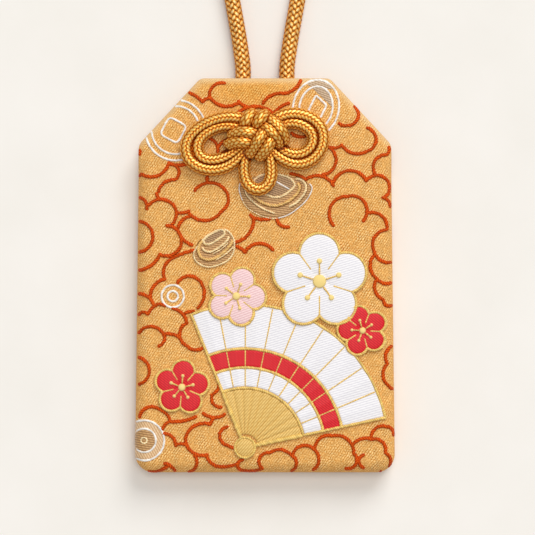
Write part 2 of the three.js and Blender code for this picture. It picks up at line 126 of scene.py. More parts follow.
def piece(name, grids, finish, body="pouch"):
    """A mesh object from grids in millimetres, with its finish, that rides on a CAD body."""
    points, faces, maps, reliefs, tones = joined_grids(grids)
    mesh = bpy.data.meshes.new(name)
    mesh.vertices.add(len(points))
    mesh.vertices.foreach_set("co", (points * MM).ravel())
    mesh.loops.add(faces.size)
    mesh.loops.foreach_set("vertex_index", faces.ravel())
    mesh.polygons.add(len(faces))
    mesh.polygons.foreach_set("loop_start", np.arange(0, faces.size, 4))
    mesh.update(calc_edges=True)
    mesh.uv_layers.new(name="cloth").data.foreach_set("uv", maps[faces].ravel())
    for key, values in (("relief", reliefs), ("tone", tones)):
        mesh.attributes.new(key, "FLOAT", "POINT").data.foreach_set("value", values.astype(np.float32))
    shape = bmesh.new()
    shape.from_mesh(mesh)
    bmesh.ops.remove_doubles(shape, verts=shape.verts, dist=merge_distance)
    shape.to_mesh(mesh)
    shape.free()
    mesh.polygons.foreach_set("use_smooth", np.ones(len(mesh.polygons), bool))
    mesh.validate()
    mesh.materials.append(finish)
    made = placed(name, mesh)
    if body:
        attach(made, body)
    print(f"{name}: {len(mesh.vertices)} points, {len(mesh.polygons)} faces")
    return made


# %% [markdown]
# Finishes are small node trees. These helpers keep them readable: a colour as it is seen on screen,
# a sum, rows of rounded dashes, a colour ramp, a mix, and a bump whose height is given in millimetres.

# %% Helpers for finishes
def paint(red, green, blue):
    """A screen colour, 0 to 255, as the linear colour that Blender works in."""
    c = np.array([red, green, blue]) / 255
    return (*np.where(c <= 0.04045, c / 12.92, ((c + 0.055) / 1.055) ** 2.4), 1.0)


def new_finish(name, roughness, specular=0.3, sheen=0.0):
    """An empty finish: the node tree and its shader, with what is the same all over set on it."""
    material = bpy.data.materials.new(name)
    material.use_nodes = True
    shader = material.node_tree.nodes["Principled BSDF"]
    shader.inputs["Roughness"].default_value = roughness
    shader.inputs["Specular IOR Level"].default_value = specular
    shader.inputs["Sheen Weight"].default_value = sheen
    shader.inputs["Sheen Roughness"].default_value = 0.4
    return material, material.node_tree, shader


def put(tree, socket, value):
    """Links a socket to a socket, or sets it to a number."""
    if isinstance(value, bpy.types.NodeSocket):
        tree.links.new(value, socket)
    else:
        socket.default_value = value


def calc(tree, operation, *values):
    """One Math node."""
    node = tree.nodes.new("ShaderNodeMath")
    node.operation = operation
    for socket, value in zip(node.inputs, values):
        put(tree, socket, value)
    return node.outputs[0]


def vector_calc(tree, operation, *values):
    """One Vector Math node."""
    node = tree.nodes.new("ShaderNodeVectorMath")
    node.operation = operation
    for socket, value in zip(node.inputs, values):
        put(tree, socket, value)
    return node


def parts(tree, vector):
    """The x and the y of a vector."""
    node = tree.nodes.new("ShaderNodeSeparateXYZ")
    put(tree, node.inputs[0], vector)
    return node.outputs["X"], node.outputs["Y"]


def humps(tree, value, power):
    """A rounded hump over each unit of the value: sin(pi * its fraction) to a power."""
    wave = calc(tree, "SINE", calc(tree, "MULTIPLY", calc(tree, "FRACT", value), math.pi))
    return calc(tree, "POWER", wave, power)


def dashed_rows(tree, along, across, pitch, length, shift, row_power, dash_power, depth):
    """Height = a rounded row across times a rounded dash along it, each row shifted; also the numbers of
    the row and of the place along it."""
    rows = calc(tree, "DIVIDE", across, pitch)
    row = calc(tree, "FLOOR", rows)
    place = calc(tree, "MULTIPLY_ADD", row, shift, calc(tree, "DIVIDE", along, length))
    dash = calc(tree, "MULTIPLY_ADD", humps(tree, place, dash_power), depth, 1 - depth)
    return calc(tree, "MULTIPLY", humps(tree, rows, row_power), dash), row, place


def ramp(tree, value, *stops):
    """A colour for each height, from pairs of a height and a screen colour."""
    node = tree.nodes.new("ShaderNodeValToRGB")
    put(tree, node.inputs[0], value)
    elements = node.color_ramp.elements
    while len(elements) < len(stops):
        elements.new(0.5)
    for element, (place, colour) in zip(elements, stops):
        element.position = place
        element.color = paint(*colour)
    return node.outputs[0]


def mixed(tree, colour, other, share, blend="MIX"):
    """The colour mixed with another, or multiplied by it, to the share that is given."""
    node = tree.nodes.new("ShaderNodeMix")
    node.data_type = "RGBA"
    node.blend_type = blend
    for key, value in (("Factor", share), ("A", colour), ("B", other)):
        put(tree, node.inputs[key], value)
    return node.outputs["Result"]


def shaded(tree, colour, value, low, high):
    """The colour times a grey that goes from low to high as the value goes from 0 to 1."""
    grey = tree.nodes.new("ShaderNodeMapRange")
    for key, number in (("Value", value), ("To Min", low), ("To Max", high)):
        put(tree, grey.inputs[key], number)
    return mixed(tree, colour, grey.outputs[0], 1.0, "MULTIPLY")


def noise(tree, vector, scale, detail=3.0):
    """Soft noise from 0 to 1."""
    node = tree.nodes.new("ShaderNodeTexNoise")
    put(tree, node.inputs["Vector"], vector)
    node.inputs["Scale"].default_value = scale
    node.inputs["Detail"].default_value = detail
    return node.outputs["Fac"]


def attribute(tree, name):
    """A number that the mesh carries at each point."""
    node = tree.nodes.new("ShaderNodeAttribute")
    node.attribute_name = name
    return node.outputs["Fac"]


def object_place(tree):
    """Object coordinates, in metres from the frame's origin."""
    return tree.nodes.new("ShaderNodeTexCoord").outputs["Object"]


def mapped_place(tree, scale, angle=0.0):
    """Object coordinates, scaled and turned by an angle in degrees."""
    node = tree.nodes.new("ShaderNodeMapping")
    node.inputs["Rotation"].default_value = (0, 0, math.radians(angle))
    node.inputs["Scale"].default_value = scale
    put(tree, node.inputs["Vector"], object_place(tree))
    return node.outputs[0]


def bumped(tree, shader, height, millimetres, strength=1.0):
    """Tilts the shading normal as a relief of that height would."""
    node = tree.nodes.new("ShaderNodeBump")
    node.inputs["Strength"].default_value = strength
    node.inputs["Distance"].default_value = millimetres * MM
    put(tree, node.inputs["Height"], height)
    tree.links.new(node.outputs[0], shader.inputs["Normal"])


# %% [markdown]
# The cord is a soft round braid of shiny gold thread. Its stitches are plump ovals that lean
# left and right by turns, with valleys between them. The mesh has the stitches as relief and hands
# their height to the finish, which paints shade by it: dark brown deep down, and a pale painted
# highlight on the crowns.

# %% Finishes of the gold cords
def cord_finish(name, metal, *stops):
    """Gold thread: the ramp's colours by the stitches' height, painted shade low down and a painted highlight
    on the crowns; each stitch a little different.
    """
    material, tree, shader = new_finish(name, roughness=0.36, specular=0.9)
    shader.inputs["Metallic"].default_value = metal
    shader.inputs["Specular Tint"].default_value = paint(255, 220, 150)
    colour = ramp(tree, attribute(tree, "relief"), *stops)
    tree.links.new(shaded(tree, colour, attribute(tree, "tone"), 0.88, 1.1), shader.inputs["Base Color"])
    fibres = noise(tree, object_place(tree), 9000.0, 2.0)
    bumped(tree, shader, fibres, 0.03, 0.5)
    return material


gold_cord = cord_finish(
    "gold_cord", 0.5, (0.25, (56, 4, 0)), (0.5, (112, 32, 0)), (0.66, (168, 73, 0)),
    (0.8, (219, 130, 28)), (0.9, (243, 177, 76)), (1.0, (255, 218, 134)),
)
hanging_gold = cord_finish(
    "hanging_gold", 0.35, (0.25, (66, 18, 0)), (0.5, (138, 58, 0)), (0.7, (198, 110, 18)),
    (0.86, (234, 160, 66)), (0.96, (250, 204, 124)), (1.0, (255, 228, 168)),
)

# %% [markdown]
# A cord needs a smooth centreline first. A cubic spline through a few points bends as a cord does:
# the curve's second derivatives follow from one small linear system. It is then cut into equal steps.
# The other helpers here are small ones that lines, tubes and patches share.

# %% Smooth centrelines
line_step = 0.07


def unit(vectors):
    """The same directions, each of length 1."""
    return vectors / np.linalg.norm(vectors, axis=-1, keepdims=True)


def left_of(ahead):
    """Directions on the cloth turned by a quarter to the left."""
    return np.stack([-ahead[..., 1], ahead[..., 0]], -1)


def round_angles(count):
    """Equal angles once round."""
    return np.linspace(0, 2 * math.pi, count, endpoint=False)


def rounded_rim(distance, width):
    """0 at a rim, 1 beyond the width, round like a quarter of a circle between."""
    return np.sqrt(1 - np.clip(1 - distance / width, 0, 1) ** 2)


def run_along(path):
    """Distance along a line to each of its points."""
    return np.concatenate([[0], np.cumsum(np.linalg.norm(np.diff(path, axis=0), axis=1))])


def even_steps(fine, step=line_step):
    """The same line with points at equal distances."""
    run = run_along(fine)
    s = np.linspace(0, run[-1], max(3, int(round(run[-1] / step)) + 1))
    return np.stack([np.interp(s, run, fine[:, c]) for c in range(fine.shape[1])], -1)


def smooth_path(points, step=line_step):
    """Natural cubic spline through the points over their chord length, cut into equal steps."""
    p = np.asarray(points, float)
    t = run_along(p)
    h = np.diff(t)
    n = len(p)
    i = np.arange(1, n - 1)
    matrix, right = np.eye(n), np.zeros((n, 3))
    matrix[i, i - 1], matrix[i, i], matrix[i, i + 1] = h[:-1], 2 * (h[:-1] + h[1:]), h[1:]
    slope = np.diff(p, axis=0) / h[:, None]
    right[i] = 6 * np.diff(slope, axis=0)
    m = np.linalg.solve(matrix, right)
    s = np.linspace(0, t[-1], 60 * n)
    k = np.clip(np.searchsorted(t, s) - 1, 0, n - 2)
    a, b, w = (t[k + 1] - s)[:, None], (s - t[k])[:, None], h[k][:, None]
    fine = (m[k] * a**3 + m[k + 1] * b**3) / (6 * w)
    fine += (p[k] / w - m[k] * w / 6) * a + (p[k + 1] / w - m[k + 1] * w / 6) * b
    return even_steps(fine, step)


# %% [markdown]
# The braid itself is a tube whose radius dips between the stitches. Round the cord there are eight
# columns or a few more; every second one is shifted by half a stitch and leans the other way, which
# gives the rows of V shapes. At each point the nearest few stitches are tried and the highest wins.

# %% A braided tube
blunt, fullness = 2.8, 0.44
points_a_column = 7
end_rounding = 0.35


def scatter(a, b):
    """A fixed number from 0 to 1 for each pair of whole numbers."""
    value = np.sin(12.9898 * a + 78.233 * b) * 43758.5453
    return value - np.floor(value)


def braid_relief(run, turn, width, pitch, columns, lean, long, wide):
    """Height and shade of the stitches. A stitch is the blunt oval 1 - |along/A|^p - |across/B|^p, raised
    to a power below 1 to make it fuller."""
    best, tone = np.zeros(run.shape), np.full(run.shape, 0.5)
    for shift in (-1, 0, 1):
        column = np.floor(turn) + shift
        side = np.where(column % 2 == 0, 1.0, -1.0)
        x = (turn - column - 0.5) * width
        offset = np.where(side > 0, 0.0, pitch / 2)
        nearest = np.round((run - offset) / pitch)
        for jump in (-1, 0, 1):
            y = run - offset - (nearest + jump) * pitch
            along = y * math.cos(lean) + side * x * math.sin(lean)
            across = x * math.cos(lean) - side * y * math.sin(lean)
            oval = 1 - np.abs(along / (long * width)) ** blunt - np.abs(across / (wide * pitch)) ** blunt
            higher = oval > best
            best = np.where(higher, oval, best)
            tone = np.where(higher, scatter(column % columns, nearest + jump), tone)
    return best**fullness, tone


def braided_tube(path, up, diameter, pitch, columns, lean, valley, painted_flank_shade, long, wide):
    """point = path + r (cos(angle) side + sin(angle) up), r = half the diameter less the valleys, with
    round ends. The sides and underside of the cord are darkened in colour by a share: painted shade."""
    ahead = unit(np.gradient(path, axis=0))
    up = unit(up - (up * ahead).sum(1, keepdims=True) * ahead)
    side = np.cross(ahead, up)
    angle = round_angles(points_a_column * columns)
    run, turn = np.meshgrid(run_along(path), angle / (2 * math.pi) * columns, indexing="ij")
    relief, tone = braid_relief(run, turn, math.pi * diameter / columns, pitch, columns, lean, long, wide)
    ends = rounded_rim(np.minimum(run, run[-1] - run), end_rounding * diameter)
    radius = diameter / 2 * (1 - valley * (1 - relief)) * ends
    # Painted shade: darker colour down the cord's sides and underside.
    relief = relief * (1 - painted_flank_shade * np.clip(1 - np.sin(angle), 0, 1) ** 2)
    out = np.cos(angle)[None, :, None] * side[:, None] + np.sin(angle)[None, :, None] * up[:, None]
    points = path[:, None] + radius[..., None] * out
    return {"points": points, "closed": True, "relief": relief, "tone": tone}


# %% [markdown]
# The hanging cord comes out of two holes under the knot, runs up the back of the pouch in two legs,
# and makes one loop above its top edge. It is one piece of cord, so it is one tube. It lies flat on
# the table. Going up a leg the sideways direction of the pouch is a safe reference for the braid's
# turn; on the loop it is the upright one. Both agree on the straight stretch between, where one
# passes into the other.

# %% Route of the hanging cord
cord_diameter = 2.6
cord_level = cord_diameter / 2
hole_half, hole_y, hole_top, leg_bend = 2.4, 22.5, 4.2, 1.4
leg_half = [(2.85, 27.5), (3.4, 31.5), (3.85, 34.5)]
loop_top, upright_from, upright_over, hanging_step = 80.9, 26, 6, 0.11
loop_half = [
    (3.85, 36.1), (4.1, 38.7), (4.55, 41.7), (5.1, 44.9), (5.7, 48.3), (6.4, 52.5), (7.2, 57.1),
    (7.9, 62.1), (8.2, 67.1), (7.7, 72.1), (6.1, 76.5), (3.4, 79.7),
]


def hanging_route():
    """Up the left leg, round the loop, down the right leg: the left half is mirrored."""
    turn = np.linspace(0, math.pi / 2, 5)
    bend_y = hole_y + leg_bend * (1 - np.cos(turn))
    bend_z = cord_level + leg_bend * (1 - np.sin(turn))
    bend = [(hole_half, hole_y, hole_top), *[(hole_half, y, z) for y, z in zip(bend_y, bend_z)]]
    half = np.array(bend + [(x, y, cord_level) for x, y in leg_half + loop_half])
    left = half * [-1, 1, 1]
    return smooth_path([*left, (0, loop_top, cord_level), *half[::-1]], hanging_step)


def hanging_up(path):
    """Reference for the braid's turn: across the leg's plane at first, upright from there on."""
    leg_up = unit(np.cross(np.gradient(path, axis=0), [1.0, 0.0, 0.0]))
    leg_up *= np.where(np.arange(len(path)) < len(path) / 2, -1.0, 1.0)[:, None]
    share = np.clip((path[:, 1:2] - upright_from) / upright_over, 0, 1)
    return leg_up * (1 - share) + np.array([0, 0, 1.0]) * share


hanging_path = hanging_route()

# %% [markdown]
# The cord's legs are held by the pouch and its loop swings. The cord is made as one mesh, which is not
# attached to a body here. Two meshes that meet at the edge would be simpler, but they would part when the
# loop is lifted.

# %% The hanging cord
hanging_braid = {"columns": 12, "lean": 0.74, "valley": 0.28, "painted_flank_shade": 0.2, "long": 0.9, "wide": 0.38}
over_crests, hanging_pitch = 1.07 * cord_diameter, 1.08
hanging_tube = braided_tube(
    hanging_path, hanging_up(hanging_path), over_crests, hanging_pitch, **hanging_braid
)
hanging_cord = piece("hanging_cord", [hanging_tube], hanging_gold, body=None)
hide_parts("hang_loop", "cord_leg_left", "cord_leg_right")
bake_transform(hanging_cord)

# %% [markdown]
# The knot is tied from a thinner cord laid double: two doubled side loops, one small loop below, and
# four pairs of wraps that pass over each other like a pinwheel. Each route is given as the CAD source
# gives it, in diameters of the cord: x, y from the row of holes, and a height above the cloth.

# %% Routes of the knot
knot_diameter = 1.85
knot_low = face_height + 0.55
knot_loops = [
    [(-1.41, 2.22, 0.81), (-2.27, 2.59, 0.81), (-3.57, 2.73, 0.76), (-5.19, 2.32, 0.65),
     (-6.59, 1.43, 0.54), (-7.38, 0.16, 0.5), (-7.14, -1.14, 0.5), (-6.11, -1.95, 0.5),
     (-4.76, -2.16, 0.5), (-3.35, -1.73, 0.5), (-2.27, -0.81, 0.5), (-1.51, 0.05, 0.5)],
    [(-1.51, 1.68, 0.54), (-2.59, 1.81, 0.54), (-3.89, 1.92, 0.54), (-5.19, 1.49, 0.54),
     (-6.11, 0.7, 0.5), (-6.35, -0.22, 0.5), (-5.95, -1, 0.5), (-4.81, -1.27, 0.5), (-3.57, -0.89, 0.5),
     (-2.59, -0.27, 0.5), (-1.73, 0.38, 0.5)],
    [(0.22, 2, 0.81), (0.97, 2.54, 0.81), (1.84, 2.95, 0.76), (3.03, 3.05, 0.65), (4.32, 2.65, 0.54),
     (5.24, 1.78, 0.5), (5.49, 0.7, 0.5), (5.11, -0.51, 0.5), (4.22, -1.35, 0.5), (3.14, -1.65, 0.5),
     (1.95, -1.35, 0.5), (0.97, -0.7, 0.5), (0.22, 0.05, 0.5)],
    [(0.65, 1.59, 0.54), (1.51, 2.03, 0.54), (2.49, 2.24, 0.54), (3.57, 2, 0.54), (4.35, 1.35, 0.5),
     (4.51, 0.49, 0.5), (4.05, -0.32, 0.5), (3.14, -0.73, 0.5), (2.05, -0.54, 0.5), (1.19, 0.11, 0.5),
     (0.43, 0.7, 0.5)],
    [(-1.41, 0.05, 0.5), (-1.78, -0.92, 0.5), (-1.95, -2, 0.5), (-1.84, -2.97, 0.5), (-1.41, -3.73, 0.5),
     (-0.65, -4.05, 0.5), (0.11, -3.73, 0.5), (0.54, -2.97, 0.5), (0.59, -2, 0.5), (0.43, -0.92, 0.5),
     (0.11, 0.05, 0.5)],
]
knot_wraps = [
    [(-1.03, 3.05, 0.63), (-1.22, 2.97, 1.05), (-1.51, 2.73, 1.42), (-1.76, 2.32, 1.4),
     (-1.86, 1.89, 1.05), (-1.89, 1.46, 0.63)],
    [(0.14, 2.92, 0.63), (-0.05, 2.89, 1.1), (-0.32, 2.68, 1.55), (-0.65, 2.27, 1.5), (-0.86, 1.84, 1.1),
     (-0.97, 1.41, 0.63)],
    [(-3.3, 0.65, 0.63), (-3.03, 0.95, 0.9), (-2.54, 1.22, 1.3), (-1.86, 1.3, 1.6), (-1.14, 1.16, 1.5),
     (-0.65, 0.89, 1), (-0.32, 0.59, 0.63)],
    [(-3.68, -0.08, 0.63), (-3.43, 0.16, 0.78), (-3, 0.35, 1.1), (-2.35, 0.43, 1.45), (-1.57, 0.35, 1.4),
     (-1.03, 0.14, 0.9), (-0.59, -0.14, 0.63)],
    [(-1.49, -0.78, 0.63), (-1.35, -0.59, 0.95), (-0.95, 0.03, 1.5), (-0.51, 0.7, 1.75),
     (-0.16, 1.27, 1.45), (0.14, 1.68, 0.9)],
    [(-0.62, -1.08, 0.63), (-0.49, -0.89, 0.95), (-0.03, -0.38, 1.5), (0.38, 0.24, 1.62),
     (0.65, 0.78, 1.2), (0.81, 1.19, 0.8)],
    [(-0.59, 2.16, 0.63), (-0.27, 1.89, 1.15), (0.41, 1.49, 1.6), (1.03, 0.92, 1.5), (1.35, 0.41, 1),
     (1.43, 0.05, 0.63)],
    [(0, 2.76, 0.63), (0.3, 2.54, 1.05), (1, 2.03, 1.45), (1.51, 1.38, 1.45), (1.73, 0.7, 1),
     (1.76, 0.22, 0.63)],
]

# %% [markdown]
# Each route becomes a braided tube of its own. The wraps are drawn tight, so they have more and finer
# columns than the loops. In the photograph the creases between the cords are almost brown. The lamps alone
# leave them too pale, so a point's shade is deepened by how close the next cord or the cloth is.

# %% The knot
crease_reach, crease_depth = 0.1, 0.36
loop_diameter, wrap_diameter, knot_pitch, knot_step = 2.28, 2.36, 0.72, 0.08
loop_braid = {"columns": 8, "lean": 0.7, "valley": 0.24, "painted_flank_shade": 0.08, "long": 0.78, "wide": 0.47}
wrap_braid = {"columns": 12, "lean": 0.7, "valley": 0.18, "painted_flank_shade": 0.12, "long": 0.84, "wide": 0.46}


def knot_path(route):
    """Centreline of one route, in millimetres."""
    return smooth_path(knot_diameter * np.array(route, float) + [0, hole_y, knot_low], knot_step)


def creased(tube, others):
    """Deepens the shade where another cord or the cloth is close: by exp(-gap / reach)."""
    points = tube["points"].reshape(-1, 3)
    gap = points[:, 2] - face_height
    for path, diameter in others:
        q = path[::4]
        square = (points**2).sum(1)[:, None] + (q**2).sum(1)[None] - 2 * points @ q.T
        gap = np.minimum(gap, np.sqrt(np.maximum(square.min(1), 0)) - diameter / 2)
    dark = crease_depth * np.exp(-np.maximum(gap, 0) / crease_reach)
    tube["relief"] = tube["relief"] * (1 - dark).reshape(tube["relief"].shape)
    return tube


def knot_cord(path, diameter):
    """A braided tube along one centreline of the knot, its turn held by the upright direction."""
    braid = loop_braid if diameter == loop_diameter else wrap_braid
    up = np.broadcast_to([0.0, 0.0, 1.0], path.shape)
    return braided_tube(path, up, diameter, knot_pitch, **braid)


knot_cords = [(knot_path(route), loop_diameter) for route in knot_loops]
knot_cords += [(knot_path(route), wrap_diameter) for route in knot_wraps]
knot_tubes = [
    creased(knot_cord(path, diameter), [other for other in knot_cords if other[0] is not path])
    for path, diameter in knot_cords
]
first_wrap = len(knot_loops)
for name, tubes in (("knot_loops", knot_tubes[:first_wrap]), ("knot_wraps", knot_tubes[first_wrap:])):
    made = piece(name, tubes, gold_cord)
    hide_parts("cord_knot")

# %% [markdown]
# The pouch is a flat bag with slanting shoulders and rounded corners. Everything on it is placed by
# the distance from its outline, so that comes first. Inside a corner's wedge it is the corner's radius
# less the distance from its centre, elsewhere the least distance from a straight side.

# %% Outline of the pouch
bottom_y, top_y, shoulder_y = -34.5, 34.5, 22.9
bottom_half, shoulder_half, top_half = 22.8, 22.1, 11.3
corners = np.array(
    [(0, bottom_y), (bottom_half, bottom_y), (shoulder_half, shoulder_y), (top_half, top_y), (0, top_y)]
)
corner_radii = (3.2, 2.2, 1.6)
side_along = unit(np.diff(corners, axis=0))
side_inward = left_of(side_along)
corner_centres = [
    np.linalg.solve(side_inward[i : i + 2], side_inward[i : i + 2] @ corners[i + 1] + radius)
    for i, radius in enumerate(corner_radii)
]


def side_distances(x, y):
    """Distance inwards from each straight side of the right half; the left half mirrors it."""
    p = np.stack([np.abs(x), y], -1)
    return np.stack([(p - corners[i]) @ side_inward[i] for i in range(4)])


def inset(x, y):
    """Distance inwards from the outline with its rounded corners."""
    p = np.stack([np.abs(x), y], -1)
    d = side_distances(x, y).min(0)
    for i, radius in enumerate(corner_radii):
        q = p - corner_centres[i]
        in_wedge = (q @ side_along[i] > 0) & (q @ side_along[i + 1] < 0)
        d = np.where(in_wedge, radius - np.linalg.norm(q, axis=-1), d)
    return d


def outward(x, y):
    """Unit vector away from the middle of the pouch, straight out of its outline."""
    e = 0.01
    d = np.stack([inset(x - e, y) - inset(x + e, y), inset(x, y - e) - inset(x, y + e)], -1)
    return d / np.maximum(np.linalg.norm(d, axis=-1, keepdims=True), 1e-9)


def edge_x(y):
    """Half the width at each height: an interval is halved until the inset there is nothing."""
    low, high = np.zeros_like(y), np.full_like(y, 30.0)
    for _ in range(40):
        middle = (low + high) / 2
        inside = inset(middle, y) >= -1e-9
        low, high = np.where(inside, middle, low), np.where(inside, high, middle)
    return low


print("half widths in mm", edge_x(np.array([bottom_y, -20.0, 10.0, 30.0, top_y])).round(2))

# %% [markdown]
# The front cloth is drawn over wadding: flat in the middle with a slight crown, then rolled over the
# edge down to the seam half way up the side. The roll is a quarter of an ellipse in the inset. The back
# lies flat, and bends up towards the top where the cord's legs run under it.

# %% Heights of the front and the back
edge_roll, lip_half, lip_depth = 2.2, 0.65, 0.6
crown, crown_reach, back_stitch_rise = 0.35, 6, 0.14
bend_low_y, bend_length, back_rise = 16.6, 4.0, 3.0
edge_margin = 0.03


def back_height(y):
    """Nothing low down, then a smooth step up to the rise under the top."""
    t = np.clip((y - bend_low_y) / bend_length, 0, 1)
    return back_rise * t * t * (3 - 2 * t)


def seam_height(y):
    """The seam runs half way between the back and the front."""
    return (back_height(y) + face_height) / 2


def rolled(x, y, low, high):
    """Up or down the rolled edge: from low at the outline to high where the flat begins."""
    return low + (high - low) * rounded_rim(np.maximum(inset(x, y), 0), edge_roll)


def crown_height(x, y):
    """Crown that dies away towards each side, with slow ripples of a few hundredths."""
    puff = np.prod(1 - np.exp(-((np.maximum(side_distances(x, y), 0) / crown_reach) ** 2)), axis=0)
    ripple = np.sin(0.31 * x + 0.17 * y + 1) * np.sin(0.27 * y - 0.13 * x)
    ripple += 0.6 * np.sin(0.71 * x - 0.2 * y) * np.sin(0.53 * y + 0.33 * x + 2)
    return puff * (crown + 0.05 * ripple)


def front_height(x, y):
    """From the lip of the seam up the roll to the crowned face."""
    return rolled(x, y, seam_height(y) + lip_half, face_height + crown_height(x, y))


def back_face(x, y):
    """The same downwards, with no crown because it lies on the table, on its own embroidery."""
    return rolled(x, y, seam_height(y) - lip_half, back_height(y) + back_stitch_rise)


def lifted(surface, way, x, y, lift):
    """(x, y, height) moved out along the normal (-dz/dx, -dz/dy, 1) of a face. A point beyond the outline
    is first drawn back to it."""
    e = 0.02
    back = np.minimum(inset(x, y) - edge_margin, 0)[..., None] * outward(x, y)
    x, y = x + back[..., 0], y + back[..., 1]
    slope_x = (surface(x + e, y) - surface(x - e, y)) / (2 * e)
    slope_y = (surface(x, y + e) - surface(x, y - e)) / (2 * e)
    normal = unit(np.stack([-slope_x, -slope_y, np.ones_like(slope_x)], -1)) * way
    return np.stack([x, y, surface(x, y)], -1) + np.asarray(lift)[..., None] * normal


def on_front(x, y, lift):
    """Places that high above the front."""
    return lifted(front_height, 1, x, y, lift)


def on_back(x, y, lift):
    """Places that far out from the back."""
    return lifted(back_face, -1, x, y, lift)


# %% [markdown]
# The brocade's ground is a gold twill. Its floats lie in steep diagonal ribs, and each is a short rounded
# dash with a pit at its end. The colour follows the height of the floats: painted shade darkens the pits
# and a painted highlight pales their tops. The map carries millimetres measured along the cloth, also round
# the rolled edge, so the ribs keep their size there. Seen from afar it is the warm gold of the photograph.

# %% Finish of the brocade ground
twill_lean, twill_drift = math.radians(54), (0.5, 0.5, 0)
twill_rows = {"pitch": 0.4, "length": 0.52, "shift": 0.36, "row_power": 0.7, "dash_power": 0.6, "depth": 0.6}


def twill_height(tree):
    """Height of the weave's floats, a shade for each float, and the map in millimetres. A little noise
    moves the weave, so the ribs aren't ruled straight."""
    node = tree.nodes.new("ShaderNodeUVMap")
    node.uv_map = "cloth"
    uv = node.outputs[0]
    drift = tree.nodes.new("ShaderNodeTexNoise")
    drift.inputs["Scale"].default_value = 0.9
    put(tree, drift.inputs["Vector"], uv)
    x, y = parts(tree, vector_calc(tree, "MULTIPLY_ADD", drift.outputs["Color"], twill_drift, uv).outputs[0])
    c, s = math.cos(twill_lean), math.sin(twill_lean)
    along = calc(tree, "ADD", calc(tree, "MULTIPLY", x, c), calc(tree, "MULTIPLY", y, s))
    across = calc(tree, "SUBTRACT", calc(tree, "MULTIPLY", y, c), calc(tree, "MULTIPLY", x, s))
    height, row, place = dashed_rows(tree, along, across, **twill_rows)
    cell = tree.nodes.new("ShaderNodeCombineXYZ")
    put(tree, cell.inputs["X"], row)
    put(tree, cell.inputs["Y"], calc(tree, "FLOOR", place))
    own = tree.nodes.new("ShaderNodeTexWhiteNoise")
    put(tree, own.inputs["Vector"], cell.outputs[0])
    return height, own.outputs["Value"], uv


def nearness(tree, uv, centre, reach, steepness):
    """1 near a place on the cloth, falling to 0 at the reach."""
    away = vector_calc(tree, "DISTANCE", uv, (*centre, 0)).outputs["Value"]
    share = calc(tree, "MAXIMUM", calc(tree, "MULTIPLY_ADD", away, -1 / reach, 1.0), 0.0)
    return calc(tree, "MINIMUM", calc(tree, "MULTIPLY", share, steepness), 1.0)


def brocade_finish():
    """Twill that is clearer here and fainter there, with a fine grain and warmer near the middle of the top.
    Painted shade darkens its pits, a painted highlight pales its floats, and another pales the upper fold."""
    material, tree, shader = new_finish("brocade", roughness=0.66, specular=0.08, sheen=0.3)
    height, own, uv = twill_height(tree)
    clear = calc(tree, "MULTIPLY_ADD", noise(tree, uv, 0.5, 2.0), 2.6, -0.75)
    clear = calc(tree, "MINIMUM", calc(tree, "MAXIMUM", clear, 0.3), 1.0)
    middle = 0.55
    weave = calc(tree, "MULTIPLY_ADD", calc(tree, "SUBTRACT", height, middle), clear, middle)
    grain = calc(tree, "SUBTRACT", noise(tree, uv, 4.5, 2.0), 0.5)
    weave = calc(tree, "MULTIPLY_ADD", grain, 1.5, weave)
    colour = ramp(
        tree, weave, (0.0, (154, 80, 14)), (0.3, (208, 138, 58)),
        (0.6, (238, 180, 102)), (1.0, (255, 220, 154)),
    )
    colour = shaded(tree, colour, own, 0.9, 1.1)
    colour = shaded(tree, colour, noise(tree, uv, 0.35, 2.0), 0.92, 1.06)
    warm = nearness(tree, uv, centre=(-2.6, 34.6), reach=9.5, steepness=1.6)
    colour = mixed(tree, colour, paint(252, 242, 210), warm, "MULTIPLY")
    # Painted highlight: the cloth is mixed towards a pale colour along the upper fold.
    painted_top_highlight = calc(tree, "MULTIPLY", attribute(tree, "relief"), 0.6)
    colour = mixed(tree, colour, paint(230, 208, 166), painted_top_highlight)
    shader.inputs["Sheen Tint"].default_value = paint(255, 160, 70)
    tree.links.new(colour, shader.inputs["Base Color"])
    bumped(tree, shader, height, 0.07, 0.7)
    return material


brocade = brocade_finish()

# %% [markdown]
# Each panel is one grid over the outline: rows up the pouch, columns across it, both close together
# where the cloth rolls. The edge turns in at the seam as a small rounded lip. Along the upper fold, where
# it faces the top, the cloth is paler as a painted highlight, which the grid carries as relief.

# %% Grid of a panel
roll_steps = edge_roll * (1 - np.cos(np.linspace(0, math.pi / 2, 9)))
panel_rows, panel_columns = 110, 80
top_highlight_start, top_highlight_width = 1.3, 0.9
just_inside, groove_half, roll_stretch, lip_stretch = 0.9999, 0.1, 1.04, 0.9


def spaced(low, high, middle):
    """From low to high: roll steps at both ends, even steps between."""
    even = np.linspace(low + edge_roll, high - edge_roll, middle)[..., 1:-1]
    return np.concatenate([low + roll_steps, even, (high - roll_steps)[::-1]])


def cloth_map(x, y):
    """Millimetres on the cloth laid flat: the place, moved out by what the roll takes up."""
    d = np.clip(inset(x, y), 0, edge_roll)
    angle = np.arccos(1 - d / edge_roll)
    extra = roll_stretch * edge_roll * (math.pi / 2 - angle) - edge_roll * np.cos(angle)
    return np.stack([x, y], -1) + extra[..., None] * outward(x, y)


